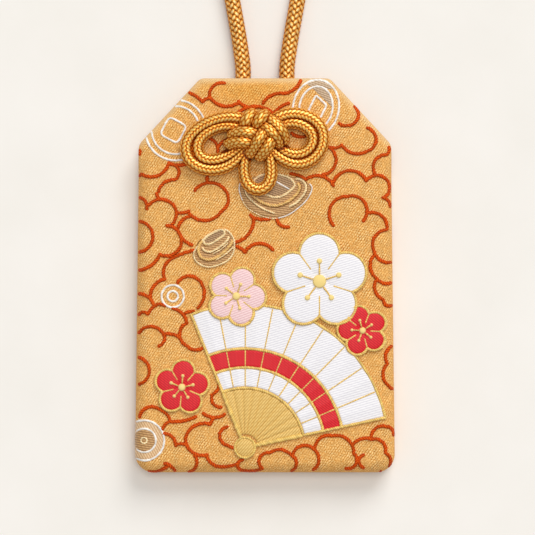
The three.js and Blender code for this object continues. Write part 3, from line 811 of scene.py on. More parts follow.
def panel_grids(surface, way):
    """The face on its grid, and the lip that turns in along its edge."""
    y = spaced(bottom_y, top_y, panel_rows)
    share = spaced(-bottom_half, bottom_half, panel_columns)
    flat_half = bottom_half - edge_roll
    beyond = np.clip(np.abs(share) - flat_half, 0, None)
    flat = np.clip(share, -flat_half, flat_half) / flat_half
    x = flat[None] * (edge_x(y)[:, None] - edge_roll) + np.sign(share)[None] * beyond[None]
    y = np.broadcast_to(y[:, None], x.shape)
    # Painted highlight: paler cloth near the edge, where the edge faces the top of the pouch.
    painted_top_highlight = np.clip(top_highlight_start - inset(x, y) / top_highlight_width, 0, 1) * np.clip(outward(x, y)[..., 1], 0, 1)
    face = {"points": np.stack([x, y, surface(x, y)], -1), "map": cloth_map(x, y), "flip": way < 0}
    face["relief"] = painted_top_highlight
    rim = (np.s_[0, :-1], np.s_[:-1, -1], np.s_[-1, :0:-1], np.s_[:0:-1, 0])
    rim_x, rim_y = (np.concatenate([a[r] for r in rim]) for a in (x, y))
    out = outward(rim_x * just_inside, rim_y * just_inside)
    turn = np.linspace(0, math.pi / 2, 5)[:, None]
    lip_x = rim_x - out[:, 0] * lip_depth * (1 - np.cos(turn))
    lip_y = rim_y - out[:, 1] * lip_depth * (1 - np.cos(turn))
    lip_z = seam_height(rim_y) + way * (lip_half - (lip_half - groove_half) * np.sin(turn))
    lip_map = cloth_map(rim_x, rim_y)[None] + out[None] * (lip_stretch * turn)[..., None]
    lip = {"points": np.stack([lip_x, lip_y, lip_z], -1), "map": lip_map, "closed": True, "flip": way > 0}
    # Painted highlight: the lip is paler where it faces the top of the pouch.
    lip["relief"] = np.clip(out[:, 1], 0, 1)
    return [face, lip]


# %% [markdown]
# A cloth could be draped by a simulation. This one is drawn tight over card and wadding, so its form can be
# worked out from the outline, and front and back are one grid at two heights. Solidify gives them the
# thickness of the cloth inwards, which leaves the outer face where it was worked out.

# %% The two panels
def thickened(made, millimetres):
    """Solidify inwards, from the outer face."""
    solid = made.modifiers.new("cloth", "SOLIDIFY")
    solid.thickness = millimetres * MM
    solid.offset = -1
    return made


cloth_thickness = 0.5
for name, surface, way, node, under in (
    ("front_cloth", front_height, 1, "front_brocade", "wadding"),
    ("back_cloth", back_face, -1, "back_brocade", "back_card"),
):
    made = thickened(piece(name, panel_grids(surface, way), brocade), cloth_thickness)
    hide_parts(node)

# %% [markdown]
# The embroidery is sewn in thread, some of it matt and some bright: rust red for the clouds, white and gold
# for outlines, cream, gold and brown for the coins. One kind of finish serves them all. It reads the height
# of each stitch from the mesh and paints shade by it, dark low down, with a pale painted highlight on the
# crowns. It reads a shade of each stitch's own too, so stitches differ a little without a picture laid on
# them.

# %% Finishes of the threads
def thread_finish(name, deep, middle, crest, roughness=0.5, specular=0.35, sheen=0.2):
    """A thread: painted shade dark between the stitches, a painted highlight pale on their crowns, each
    stitch a little different.
    """
    material, tree, shader = new_finish(name, roughness, specular, sheen)
    colour = ramp(tree, attribute(tree, "relief"), (0.0, deep), (0.55, middle), (1.0, crest))
    tree.links.new(shaded(tree, colour, attribute(tree, "tone"), 0.82, 1.12), shader.inputs["Base Color"])
    bumped(tree, shader, noise(tree, object_place(tree), 8000.0, 2.0), 0.03, 0.4)
    return material


matt = {"roughness": 0.6, "specular": 0.1, "sheen": 0.0}
bright = {"roughness": 0.45, "specular": 0.5}
cloud_thread = thread_finish("cloud_thread", (104, 16, 0), (196, 58, 2), (244, 116, 24), **matt)
outline_gold = thread_finish("outline_gold", (164, 108, 24), (226, 180, 80), (250, 222, 140))
outline_white = thread_finish("outline_white", (208, 194, 180), (246, 240, 232), (252, 248, 243))
coin_cream = thread_finish("coin_cream", (160, 104, 48), (254, 220, 154), (255, 246, 214), **bright)
coin_gold = thread_finish("coin_gold", (136, 80, 24), (238, 182, 96), (255, 230, 160), **bright)
coin_brown = thread_finish("coin_brown", (80, 38, 8), (124, 74, 28), (158, 106, 52), **matt)

# %% [markdown]
# Embroidered lines are rows of satin stitch: each stitch crosses the line at a slant, so the line looks
# like a thin rope. A line is a flattened tube that follows the cloth. Its height and width dip between
# stitches, and its ends come to a point.

# %% Stitched lines
arc_overlap = 0.22
line_sides, end_taper = 12, 0.6
flat_within, flat_least = 1.2, 0.3
width_least, width_of_ridge, width_of_own = 0.66, 0.2, 0.26
height_least, side_shade, under_cloth = 0.68, 0.45, 0.3


def arc(start, middle, end, step=line_step):
    """Points of the circle through three points, a little longer at both ends so that lines meet."""
    a, b, c = (np.array(p, float) for p in (start, middle, end))
    rows = 2 * np.stack([b - a, c - a])
    if abs(np.linalg.det(rows)) < 1e-3:
        return even_steps(np.stack([a, c]), step)
    centre = np.linalg.solve(rows, [b @ b - a @ a, c @ c - a @ a])
    angles = np.unwrap([math.atan2(*(p - centre)[::-1]) for p in (a, b, c)])
    radius = np.linalg.norm(a - centre)
    past = math.copysign(arc_overlap / radius, angles[2] - angles[0])
    t = np.linspace(angles[0] - past, angles[2] + past, 200)
    return even_steps(centre + radius * np.stack([np.cos(t), np.sin(t)], -1), step)


def stitched_line(path, width, height, pitch=0.36, lean=0.5, base=0.0, place=on_front, sharp=0.5):
    """Flattened tube on the cloth: half width * cos(angle) across, height * sin(angle) up, both dipping
    where |cos(pi * stitch)|^sharp is small; stitch = (run + lean * across) / pitch. A line that ends where
    it starts gets a whole number of stitches. Near the outline the line is flatter."""
    closed = np.allclose(path[0], path[-1])
    ahead = np.gradient(path, axis=0)
    if closed:
        ahead[0] = ahead[-1] = path[1] - path[-2]
    side = left_of(unit(ahead))
    run = run_along(path)
    count = max(1, round(run[-1] / pitch))
    ends = rounded_rim(np.minimum(run, run[-1] - run), end_taper * width)
    taper = np.ones(len(run)) if closed else ends
    flat = np.clip(inset(path[:, 0], path[:, 1]) / flat_within, flat_least, 1)
    angle = round_angles(line_sides)
    across = np.cos(angle)[None] * width / 2 * taper[:, None]
    stitch = (run[:, None] + lean * across) * count / run[-1]
    ridge = np.abs(np.cos(math.pi * stitch)) ** sharp
    tone = scatter(np.round(stitch) % count, np.round(path[:1, :1] * 7))
    across = across * (width_least + width_of_ridge * ridge + width_of_own * tone)
    up = height * np.sin(angle) * np.where(np.sin(angle) > 0, 1, under_cloth)
    lift = base + up * (taper * flat)[:, None] * (height_least + (1 - height_least) * ridge)
    x, y = (path[:, None, c] + across * side[:, None, c] for c in (0, 1))
    # Painted shade: the relief that colours the line is low between the stitches and down its sides.
    relief = ridge * (side_shade + (1 - side_shade) * np.clip(np.sin(angle), 0, 1))
    flip = place is on_front
    return {"points": place(x, y, lift), "closed": True, "relief": relief, "tone": tone, "flip": flip}


def on_cloth(path, margin=0.06, shortest=0.5):
    """The runs of a line within the outline. A closed line is first turned to start outside."""
    inside = inset(path[:, 0], path[:, 1]) > margin
    if inside.all():
        return [path]
    if np.allclose(path[0], path[-1]):
        first = np.flatnonzero(~inside)[0]
        path, inside = np.roll(path[:-1], -first, axis=0), np.roll(inside[:-1], -first)
    change = np.flatnonzero(np.diff(np.concatenate([[0], inside.astype(int), [0]])))
    runs = [path[start:end] for start, end in zip(change[::2], change[1::2])]
    return [run for run in runs if run_along(run)[-1] > shortest]


def stitched_on_cloth(lines, width, height, **how):
    """Stitched lines along whatever of these lines lies on the cloth."""
    return [stitched_line(run, width, height, **how) for line in lines for run in on_cloth(line)]


# %% [markdown]
# The clouds are the pouch's main pattern: scallops of raised rust-red satin stitch that lean on each other.
# Each scallop is an arc through three points. The points were read from the photograph in millimetres, and
# round the embroidered picture they go on in the same manner.

# %% Cloud lines
cloud_chains = [
    [-13.9, 32.2, -12.2, 31.4, -10.9, 30.3, -10.4, 30.8, -9.4, 30.9],
    [-7, 33.6, -9.2, 32.9, -9.7, 31.3, -8.2, 29.9, -4.5, 30.3], [-4.7, 30.5, -3.6, 29.6, -1.2, 29.6],
    [-0.4, 30, 1, 31.4, 3.2, 31.8, 5.2, 32.6, 6.3, 34.3],
    [-4.7, 28.4, -2.2, 29.5, 0, 29.2, 0.9, 28.7, 1.4, 28, 2.4, 29.2, 4.2, 30.1],
    [-10.2, 24, -9, 23.6, -8.25, 22.2], [-6, 24, -7.4, 23.3, -8.25, 22.2],
    [-8.25, 22.4, -8.22, 21.9, -8.2, 21.4], [4.6, 24.9, 5.4, 24.4, 7, 24.3],
    [-22.2, 22.4, -21.9, 21.8, -22, 21], [-21.7, 17.8, -19.2, 17.3, -16.8, 19.7],
    [-16.9, 19.7, -15.6, 19.3, -13.5, 19.6], [-21.7, 17.6, -22.1, 17.2, -22.2, 16.7],
    [-15.7, 19.2, -15, 18, -15.8, 16.7, -17.6, 16.2, -18.6, 14.6], [-18.9, 14.4, -18.8, 13.9, -18.5, 13.3],
    [-20.4, 12.2, -18, 13.3, -15.8, 12, -15.5, 10.4, -16.3, 8.9], [-22.2, 13.7, -21, 13.1, -20.7, 11.6],
    [-10.1, 17.5, -10.1, 16.9, -10.1, 16.2],
    [-12.3, 14.8, -9.9, 16.2, -7.2, 15.2, -6.4, 13.2, -7.6, 11.2, -10.4, 9.6, -13.2, 10.8],
    [-15.6, 11, -14.6, 10.9, -13.2, 11.3], [-13.2, 10.3, -14.4, 9.7, -15.1, 8.3],
    [-17.2, 8.7, -15.6, 8.2, -14.8, 7, -13.9, 5.95, -12.7, 5.3],
    [-15.2, 7.6, -14.6, 5.6, -15.9, 3.8, -17, 3.4, -18.3, 3.7],
    [-12.3, 4.4, -14.2, 3.9, -16, 3.1, -17.6, 1.4, -17.5, -0.6], [-18.3, 3.8, -19.6, 2, -22.1, 0.9],
    [-22.1, 9.5, -19.6, 7, -22, 4.1], [-17.4, -0.6, -19.2, -1.6, -20, -3.3, -19.8, -4.5, -19, -5.3],
    [-19.2, -5.2, -18.4, -5, -17.4, -5.3],
    [-15.3, -1.3, -13.2, -0.1, -11.2, -1.2, -10.6, -3.2, -11.8, -5.7],
    [-22.1, -3.2, -20.6, -3.6, -19.4, -5.3], [-22.1, -6.9, -21.3, -6.4, -20.5, -6.8, -20, -6, -19.2, -5.3],
    [-16.2, -5.7, -14.6, -6.5, -13.6, -8.4], [-13.9, -6.6, -13.2, -6.3, -12.4, -6.2],
    [-13.9, -8.4, -14.9, -10.4, -13.6, -12.3, -12.2, -13, -10.6, -12.4],
    [-22.1, -10.1, -19.8, -8.9, -17.7, -10.3, -17.6, -11.4, -18.6, -12.3],
    [-17.7, -10.3, -16.4, -10.2, -15, -10.8], [-5.2, 5.8, -2.8, 7.3, -2, 9.6, -2.2, 10.2, -2.6, 10.6],
    [-2.4, 10.3, -0.8, 9.8, 1, 10], [-5.1, 5.1, -4.2, 4.7, -3.5, 4, -1, 5.6, 1.4, 4.4],
    [2, 10, 2.6, 8.9, 4.2, 8.5], [15.6, 29.6, 16.2, 27.4, 14.4, 26.2, 13.7, 26.2, 12.9, 26.6],
    [17.8, 25.8, 19.4, 23.8, 17.8, 21.7, 15.6, 21.3, 13.4, 22.8], [13.5, 22.8, 12.4, 22.3, 11.1, 22.5],
    [11.1, 22.4, 12.4, 20.4, 10, 17.6], [7.2, 16.8, 9.6, 17.4, 12, 15.6], [7.2, 16.7, 6, 17.4, 4.4, 17.8],
    [11.9, 16.2, 14.6, 18.3, 17.7, 16.5, 19.4, 17.5, 21.2, 16.8, 21.8, 15.3, 20.8, 13.6],
    [20.5, 13.6, 21.5, 13.1, 21.9, 12], [21.6, 22.5, 21.7, 21.8, 21.2, 21.1, 19.2, 20, 19.3, 17.6],
    [12, 8.7, 11.2, 11, 14.4, 13.8, 17.8, 11.6, 17.1, 9.5],
    [17.9, 10.9, 20.4, 10.4, 21.3, 8, 19.2, 6.8, 19, 4.4, 20.3, 2.6, 22.4, 2.4],
    [18.9, 3.4, 18.4, 1.4, 19.5, -0.5, 20.9, -1.4, 22.5, -1], [19.5, -0.6, 19.2, -2.6, 20.7, -4.2],
    [22.5, -4.9, 21.4, -5.3, 20.7, -4.2],
    [22.6, -12.2, 21.2, -13.4, 21.4, -15.4, 20.6, -17.4, 21.8, -19.4, 22.3, -19.8, 22.6, -19.7],
    [-22.1, -14.3, -20.2, -16.6, -22.1, -19], [-18.4, -23.4, -20.4, -23, -21.9, -24.8],
    [-18.4, -23.4, -17, -24.4, -16.6, -25.5],
    [-12, -24.6, -14.4, -25.4, -16.6, -25.5, -17.5, -26.1, -17.9, -26.9],
    [-17.8, -27.6, -16.2, -28.2, -15.6, -29.8], [-15.6, -29.6, -14.7, -29.4, -13.7, -29.6],
    [-9.5, -26, -12.2, -26.2, -13.9, -28.4, -13, -30.6, -10, -31.3], [-9.6, -26, -9.3, -25.4, -8.9, -24.7],
    [-10.8, -24, -8.9, -24.8, -7, -24.2], [-6.5, -26.4, -7.9, -27.8, -6.6, -29.6, -5.9, -30, -5.2, -30.2],
    [-12.3, -31.4, -11.9, -32.8, -13.4, -34.4],
    [-10.3, -31.2, -9.2, -32.9, -7.2, -33.4, -5.8, -33.2, -4.6, -32.8],
    [-3.8, -32.2, -4.8, -33, -4.2, -34, -2.4, -34.2, -0.4, -33.7],
    [-17.6, -32.8, -16.6, -33.2, -15.7, -34.4], [-20.4, -34.3, -18.6, -34.2, -17, -33.2],
    [-9.2, -20.8, -8, -19.2, -8.6, -17.2], [-9.2, -20.8, -9, -22.4, -7.6, -23],
    [-0.6, -33.6, -1, -32, 0.8, -31, 2.6, -30.4, 4.6, -31.4, 5.5, -32.8, 4.6, -34.2],
    [4.8, -31.5, 6.2, -29.8, 8.6, -30.4, 9.4, -32.2, 8.4, -34],
    [8.7, -30.5, 9.4, -28.6, 11.8, -28, 14.4, -28.6, 15.5, -31.1, 16, -32.6, 14.1, -33.7],
    [15.2, -29.8, 16.6, -28.6, 18.6, -28.6], [17.3, -31.3, 16.4, -32.4, 17.3, -33.6],
    [18.6, -28.6, 20.6, -29.2, 21, -31, 22, -32.4, 20.2, -34.3],
    [18.6, -28.6, 19.2, -26.8, 21.2, -26.4, 22.2, -26.9, 22.5, -28],
]
cloud_width, cloud_rise = 0.68, 0.32
cloud_stitch = {"pitch": 0.46, "lean": 0.9, "sharp": 0.9}


def chain_arcs(chain, step=line_step):
    """Arcs that follow each other: after the first point, each adds a place half way and an end."""
    points = np.reshape(chain, (-1, 2))
    return [arc(*points[k : k + 3], step) for k in range(0, len(points) - 1, 2)]


cloud_lines = [line for chain in cloud_chains for line in chain_arcs(chain)]
cloud_grids = stitched_on_cloth(cloud_lines, cloud_width, cloud_rise, **cloud_stitch)
piece("front_clouds", cloud_grids, cloud_thread)

# %% [markdown]
# Old coins with a square hole are woven in between the clouds: rings in white thread with a rounded square
# in the middle, and small rosettes of rings. A ring is an ellipse turned by an angle; where it would leave
# the pouch it is cut at the edge.

# %% Rings and squares in white thread
def turned(x, y, centre, turn):
    """Points turned by an angle in degrees and moved to a centre."""
    c, s = math.cos(math.radians(turn)), math.sin(math.radians(turn))
    return np.stack([centre[0] + c * x - s * y, centre[1] + s * x + c * y], -1)


def ellipse(centre, half, turn=0.0, start=0.0, end=360.0):
    """Part of an ellipse, from one angle to another."""
    t = np.radians(np.linspace(start, end, 400))
    return even_steps(turned(half[0] * np.cos(t), half[1] * np.sin(t), centre, turn))


def rounded_square(centre, along, across, power):
    """centre + x along + y across with |x|^p + |y|^p = 1: corners are rounder as the power p is less."""
    t = np.linspace(0, 2 * math.pi, 400)[:, None]
    c, s = np.cos(t), np.sin(t)
    radius = (np.abs(c) ** power + np.abs(s) ** power) ** (-1 / power)
    return even_steps(np.array(centre) + radius * (c * np.array(along) + s * np.array(across)))


left_coin, right_coin, rosette = (-15.6, 25.4), (8.9, 29.3), (-21.1, -28.8)
white_lines = [
    ellipse(left_coin, (5.3, 5.3), 0, 12, 295), ellipse(left_coin, (4.2, 4.2), 0, 5, 300),
    rounded_square((-16.0, 25.4), (1.545, -0.82), (0.82, 1.545), 5.0),
    ellipse(right_coin, (4.0, 4.95), -10, -55, 200), ellipse(right_coin, (2.9, 3.75), -10, -60, 208),
    rounded_square((9.15, 29.25), (0.93, -0.86), (0.68, 1.37), 14.0),
    ellipse((-16.1, -3.6), (1.95, 1.95)), ellipse((-16.1, -3.6), (0.9, 0.9)),
    *[ellipse(rosette, (radius, radius)) for radius in (3.5, 2.05)],
]
white_grids = stitched_on_cloth(white_lines, width=0.42, height=0.24, pitch=0.4, lean=0.9)
piece("white_rings", white_grids, outline_white)

# %% [markdown]
# Filled shapes are rows of flat stitches, laid side by side over the ground: white, red, pink, gold and a
# grey-brown for the coins. In the finish a row is a rounded ridge across and short stitches along it. The
# pattern lies in Object coordinates, because the photograph's rows run straight on through every shape.

# %% Finishes of the filled shapes
satin_rows = {"shift": 0.37, "row_power": 0.6, "dash_power": 0.4, "depth": 0.45}


def satin_finish(name, angle, pitch, stitch, deep, middle, crest):
    """Rows of stitches at an angle, with a dip between rows and where one stitch follows another. The colour
    follows the height: painted shade in the dips, a pale painted highlight on the crests.
    """
    material, tree, shader = new_finish(name, roughness=0.5, specular=0.35, sheen=0.25)
    in_mm = mapped_place(tree, (1000, 1000, 1000), angle)
    height = dashed_rows(tree, *parts(tree, in_mm), pitch, stitch, **satin_rows)[0]
    colour = ramp(tree, height, (0.0, deep), (0.45, middle), (1.0, crest))
    colour = shaded(tree, colour, noise(tree, in_mm, 1.7, 2.0), 0.96, 1.03)
    colour = shaded(tree, colour, attribute(tree, "tone"), 0.8, 1.2)
    tree.links.new(colour, shader.inputs["Base Color"])
    bumped(tree, shader, height, 0.06, 0.6)
    return material


white_satin = satin_finish("white_satin", -16, 0.4, 1.3, (206, 202, 216), (238, 236, 243), (250, 249, 252))
red_satin = satin_finish("red_satin", 38, 0.36, 0.9, (150, 4, 16), (212, 12, 30), (234, 36, 48))
pink_satin = satin_finish("pink_satin", -20, 0.4, 0.8, (222, 168, 172), (240, 200, 203), (252, 222, 222))
gold_satin = satin_finish("gold_satin", -48, 0.38, 1.1, (176, 124, 44), (222, 176, 90), (244, 208, 128))
coin_satin = satin_finish("coin_satin", 20, 0.36, 0.6, (70, 45, 24), (144, 107, 70), (192, 154, 112))
coin_pale = satin_finish("coin_pale", 60, 0.4, 0.7, (166, 116, 72), (216, 170, 120), (240, 206, 162))
coin_beige = satin_finish("coin_beige", 8, 0.4, 0.7, (86, 50, 20), (170, 122, 72), (214, 170, 114))

# %% [markdown]
# The picture on the front is a folding fan with plum blossoms, in the same threads and at the same scale as
# the cloth's other work. The leaf is pleated: each pleat is a flat fold whose height goes up and down
# with the angle. The sticks below are narrow rounded rods side by side.

# %% Folding fan
fan_pivot = np.array([-3.5, -30.0])
fan_from, fan_to, fan_pleats = math.radians(12), math.radians(112), 9
fan_lift, fan_step, pleat_height, rod_height, rod_sink = 0.3, 0.22, 0.16, 0.22, 0.12
patch_rim, satin_sink = 0.3, 0.06


def polar(centre, radius, angle):
    """x and y at a distance from a centre in each direction."""
    return centre[0] + radius * np.cos(angle), centre[1] + radius * np.sin(angle)


def fan_sector(inner, outer, relief):
    """Grid in radius and angle between two radii; relief gives the extra height at a share of the spread."""
    radii = np.linspace(inner, outer, max(6, int((outer - inner) / fan_step)))
    radius, share = np.meshgrid(radii, np.linspace(0, 1, 181), indexing="ij")
    angle = fan_from + (fan_to - fan_from) * share
    from_side = radius * np.minimum(angle - fan_from, fan_to - angle)
    rim = np.minimum(np.minimum(radius - inner, outer - radius), from_side)
    lift = (fan_lift + relief(share)) * rounded_rim(rim, patch_rim) - satin_sink
    return {"points": on_front(*polar(fan_pivot, radius, angle), lift), "flip": True}


def pleats(share):
    """Up and down once for each pleat."""
    return pleat_height * (1 - np.abs(2 * ((share * fan_pleats) % 1) - 1))


def rods(share):
    """A row of rounded rods that meet in sharp valleys."""
    return rod_height * np.sqrt(np.abs(np.sin(math.pi * share * (fan_pleats + 1)))) - rod_sink


for name, inner, outer, relief, finish, slot in (
    ("fan_base_satin", 10.5, 13.9, pleats, white_satin, "white_thread"),
    ("fan_band_satin", 14.0, 17.2, pleats, red_satin, "red_thread"),
    ("fan_leaf_satin", 17.3, 25.0, pleats, white_satin, "white_thread"),
    ("fan_rods", 2.2, 10.3, rods, gold_satin, "gold_thread"),
):
    made = piece(name, [fan_sector(inner, outer, relief)], finish)
    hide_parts(name.replace("_satin", "").replace("rods", "sticks"))

# %% [markdown]
# Gold thread outlines every part of the fan, and a finer one marks the folds. The lines lie on top of
# the satin, so their base is lifted by its thickness.

# %% Gold lines of the fan
def ray(centre, inner, outer, angle):
    """Straight line outwards from near a centre in one direction."""
    return even_steps(np.stack(polar(centre, np.array([inner, outer]), angle), -1))


def fan_curve(radius):
    """Arc round the pivot from one side of the fan to the other."""
    angle = np.linspace(fan_from, fan_to, 300)
    return even_steps(np.stack(polar(fan_pivot, radius, angle), -1))


def fan_ray(share, inner, outer):
    """Straight line from the pivot outwards at a share of the spread."""
    return ray(fan_pivot, inner, outer, fan_from + (fan_to - fan_from) * share)


rims = [fan_curve(r) for r in (10.4, 13.95, 17.25, 25.0)] + [fan_ray(s, 10.2, 25.2) for s in (0, 1)]
guards = [fan_ray(s, 1.0, 10.4) for s in (0, 1)]
folds = [fan_ray(k / fan_pleats, 10.7, 24.7) for k in range(1, fan_pleats)]
fan_lines = [stitched_line(line, width=0.55, height=0.3, base=0.2) for line in rims]
fan_lines += [stitched_line(line, width=0.8, height=0.34, base=0.2) for line in guards]
fan_lines += [stitched_line(line, width=0.24, height=0.14, pitch=0.5, base=0.24) for line in folds]
piece("fan_gold_lines", fan_lines, outline_gold)

# %% [markdown]
# A round gold patch with a ring about it stands where the sticks of a fan are riveted together. It is a disc
# of rings from its middle to its rim, a little domed. The blossoms use the same disc for their stamens.

# %% The rivet
def disc(centre, radius, lift, dome):
    """Round patch: rings from the middle to the rim, a little domed."""
    share, angle = np.meshgrid(np.linspace(0, 1, 16), round_angles(48), indexing="ij")
    rim = rounded_rim(radius * (1 - share), patch_rim)
    height = (lift + dome * (1 - share**2)) * rim - satin_sink
    return {"points": on_front(*polar(centre, radius * share, angle), height), "closed": True}


rivet = piece("fan_rivet_satin", [disc(fan_pivot, 1.7, 0.5, 0.25)], gold_satin)
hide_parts("fan_rivet")
rivet_ring = stitched_line(ellipse(fan_pivot, (1.75, 1.75)), width=0.5, height=0.3, base=0.3)
piece("fan_rivet_ring", [rivet_ring], outline_gold)

# %% [markdown]
# A plum blossom has five round petals. Its outline is the far side of five circles set round the middle:
# r(angle) = reach cos(a) + sqrt(petal^2 - (reach sin(a))^2), with a measured from the nearest petal. Each
# petal is domed, so the blossom dips between them and in the middle.

# %% Plum blossoms
petal_reach, petal_count, petal_dome, petal_rim = 0.58, 5, 0.22, 0.35
half_petal = 180 / petal_count


def petal_radius(angle, radius, turn):
    """Distance of the outline from the middle in each direction."""
    sector = 2 * math.pi / petal_count
    a = (angle - math.radians(turn) + sector / 2) % sector - sector / 2
    reach = petal_reach * radius
    return reach * np.cos(a) + np.sqrt((radius - reach) ** 2 - (reach * np.sin(a)) ** 2), a


def blossom_satin(centre, radius, turn, lift):
    """Rings from the middle to the outline, each petal a low dome."""
    rings = np.linspace(0, 1, max(14, int(radius * 4)))
    share, angle = np.meshgrid(rings, round_angles(200), indexing="ij")
    edge, a = petal_radius(angle, radius, turn)
    r = edge * share
    reach = petal_reach * radius
    off = ((r * np.cos(a) - reach) ** 2 + (r * np.sin(a)) ** 2) / (radius - reach) ** 2
    dome = petal_dome * np.sqrt(np.clip(1 - off, 0, 1))
    height = (lift + dome) * rounded_rim(edge - r, petal_rim) - satin_sink
    return {"points": on_front(*polar(centre, r, angle), height), "closed": True}


def blossom_edge(centre, radius, turn):
    """The outline as a closed line that starts between two petals."""
    angle = np.linspace(0, 2 * math.pi, 800) + math.radians(turn + half_petal)
    edge, _ = petal_radius(angle, radius, turn)
    return even_steps(np.stack(polar(centre, edge, angle), -1))


def blossom_rays(centre, inner, outer, turn):
    """Straight lines from the middle outwards, evenly round, one for each petal."""
    return [ray(centre, inner, outer, angle) for angle in math.radians(turn) + round_angles(petal_count)]


blossoms = {
    "blossom_white": ((9.5, -1.0), 8.4, 90, 0.55, white_satin, "white_thread"),
    "blossom_pink": ((-5.0, -3.6), 5.2, 70, 0.5, pink_satin, "pink_thread"),
    "blossom_red_upper": ((17.0, -9.6), 4.4, 105, 0.45, red_satin, "red_thread"),
    "blossom_red_lower": ((-14.5, -19.5), 4.8, 85, 0.4, red_satin, "red_thread"),
}
vein_from, stamen_from, stamen_to, eye = 0.3, 0.14, 0.42, 0.15
tip_share, tip_least = 0.055, 0.12
blossom_lines, stamens = [], []
for name, (centre, radius, turn, lift, finish, slot) in blossoms.items():
    centre = np.array(centre)
    made = piece(name + "_satin", [blossom_satin(centre, radius, turn, lift)], finish)
    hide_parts(name)
    edge = blossom_edge(centre, radius, turn)
    blossom_lines.append(stitched_line(edge, width=0.55, height=0.3, base=lift - 0.12))
    notch = petal_radius(np.array(math.radians(turn + half_petal)), radius, turn)[0]
    for vein in blossom_rays(centre, vein_from * radius, notch, turn + half_petal):
        blossom_lines.append(stitched_line(vein, width=0.32, height=0.2, base=lift - 0.04))
    for stalk in blossom_rays(centre, stamen_from * radius, stamen_to * radius, turn):
        stamens.append(stitched_line(stalk, width=0.3, height=0.2, base=lift + 0.1))
        stamens.append(disc(stalk[-1], tip_share * radius + tip_least, lift + 0.45, dome=0.1))
    stamens.append(disc(centre, eye * radius, lift + 0.3, dome=0.2))
piece("blossom_outlines", blossom_lines, outline_gold)
piece("blossom_stamens", stamens, outline_gold)

# %% [markdown]
# The two larger coins are seen at a slant, as a stack: a grey-brown top face, and below it the edges of
# the coins as arcs of cream and gold rope on a beige ground. None of the arcs is a true ellipse, so each is
# a smooth line through a few points.

# %% Coins at a slant
coin_outlines = {
    "coin_large": [
        -4.3, 16.2, -4.5, 15.3, -4.3, 14.15, -3.9, 13.05, -3.1, 11.9, -1.75, 10.95, -0.15, 10.25, 1.45,
        9.98, 2.55, 10.1, 4.15, 10.65, 5.75, 11.75, 7.15, 13.05, 8.05, 14.6, 8.2, 15.4, 7.65, 16.15, 6.5,
        16.85, 5.2, 17.2, 3.6, 17.6, 1.6, 17.85, -0.4, 17.7, -2.2, 17.2,
    ],
    "coin_small": [
        -7.28, 8.1, -6.4, 7.74, -5.82, 7.06, -5.46, 6.33, -5.33, 5.46, -5.39, 4.6, -5.58, 3.86, -6.11, 3.04,
        -6.89, 2.4, -7.96, 1.92, -8.93, 1.61, -10, 1.5, -11.06, 1.82, -11.94, 2.45, -12.37, 3.23, -12.37,
        4.1, -12, 4.75, -11.6, 5.3, -11.05, 6, -10.3, 6.8, -9.45, 7.4, -8.3, 7.95,
    ],
}
coin_tops = {
    "coin_large": [
        -1.9, 16.65, -1.3, 17.15, -0.5, 17.55, 0.9, 17.75, 2.2, 17.65, 3.5, 17.35, 4.3, 17, 4.93, 16.4,
        5.17, 15.8, 4.85, 15.25, 4.1, 14.6, 3.2, 14, 2.2, 13.7, 1.4, 13.7, 0.6, 14, -0.5, 14.55, -1.5, 15.3,
        -1.95, 16,
    ],
    "coin_small": [
        -10.82, 6.1, -10.2, 6.75, -9.4, 7.3, -8.55, 7.75, -7.7, 8, -7.2, 7.8, -7.06, 7.3, -7.65, 6.7, -8.45,
        6.15, -9.2, 5.7, -9.85, 5.48, -10.53, 5.64,
    ],
}
gold_ropes = [
    (0.6, [-2.2, 14.05, -1.3, 13.3, -0.15, 12.65, 0.95, 12.27, 2.05, 12.24, 3.2, 12.55, 4.45, 13.25, 5.55,
           14.3, 6, 15.1, 6, 15.65, 5.6, 16.2]),
    (0.58, [-10.8, 6.1, -11.1, 5.85, -11.5, 5.25, -11.63, 4.5, -11.5, 3.8, -11.05, 3.15, -10.2, 2.8, -9.2,
            2.87, -8.25, 3.28, -7.28, 4, -6.4, 4.86, -5.87, 5.66, -5.68, 6.2]),
    (0.4, [-10.75, 5.7, -10.45, 5.45, -10.1, 5.25]),
]
cream_ropes = [
    (0.4, [-3.5, 15.4, -3.27, 14.3, -2.7, 13.5, -1.45, 12.37, -0.15, 11.6, 0.95, 11.13, 1.75, 10.85]),
    (0.52, [4.1, 12, 5.4, 12.7, 6.35, 13.65, 7.05, 14.75, 7.15, 15.55, 6.75, 16.35, 6.05, 16.8, 5.3,
            16.95]),
    (0.46, [-10.95, 5, -10.72, 4.54, -10.2, 4.2, -9.5, 4.15, -8.73, 4.47, -7.86, 5, -7.08, 5.64, -6.45,
            6.38, -6.3, 6.9]),
    (0.3, [-9.2, 3.75, -8.05, 4.35, -7.28, 4.9, -6.4, 5.75]),
    (0.36, [-8.64, 2.74, -7.67, 3.23, -6.7, 3.9, -5.92, 4.6, -5.45, 5.05]),
]
rope_stitch = {"pitch": 0.42, "lean": 0.9, "sharp": 1.0, "base": 0.16}


def traced(numbers, closed=False):
    """A smooth line on the cloth through points that are given as x, y, x, y and so on."""
    points = np.reshape(numbers, (-1, 2)).astype(float)
    points = np.concatenate([points, points[:1]]) if closed else points
    return smooth_path(np.pad(points, ((0, 0), (0, 1))))[:, :2]


def coin_fill(outline, lift):
    """Patch inside a closed line: rings from its middle to its rim, where it sinks into the cloth."""
    outline = outline[:-1]
    middle = outline.mean(0)
    share = np.linspace(0, 1, 20)[:, None, None]
    place = middle + share * (outline - middle)
    from_rim = (1 - share[..., 0]) * np.linalg.norm(outline - middle, axis=1)
    height = lift * rounded_rim(from_rim, patch_rim) - satin_sink
    return {"points": on_front(place[..., 0], place[..., 1], height), "closed": True}


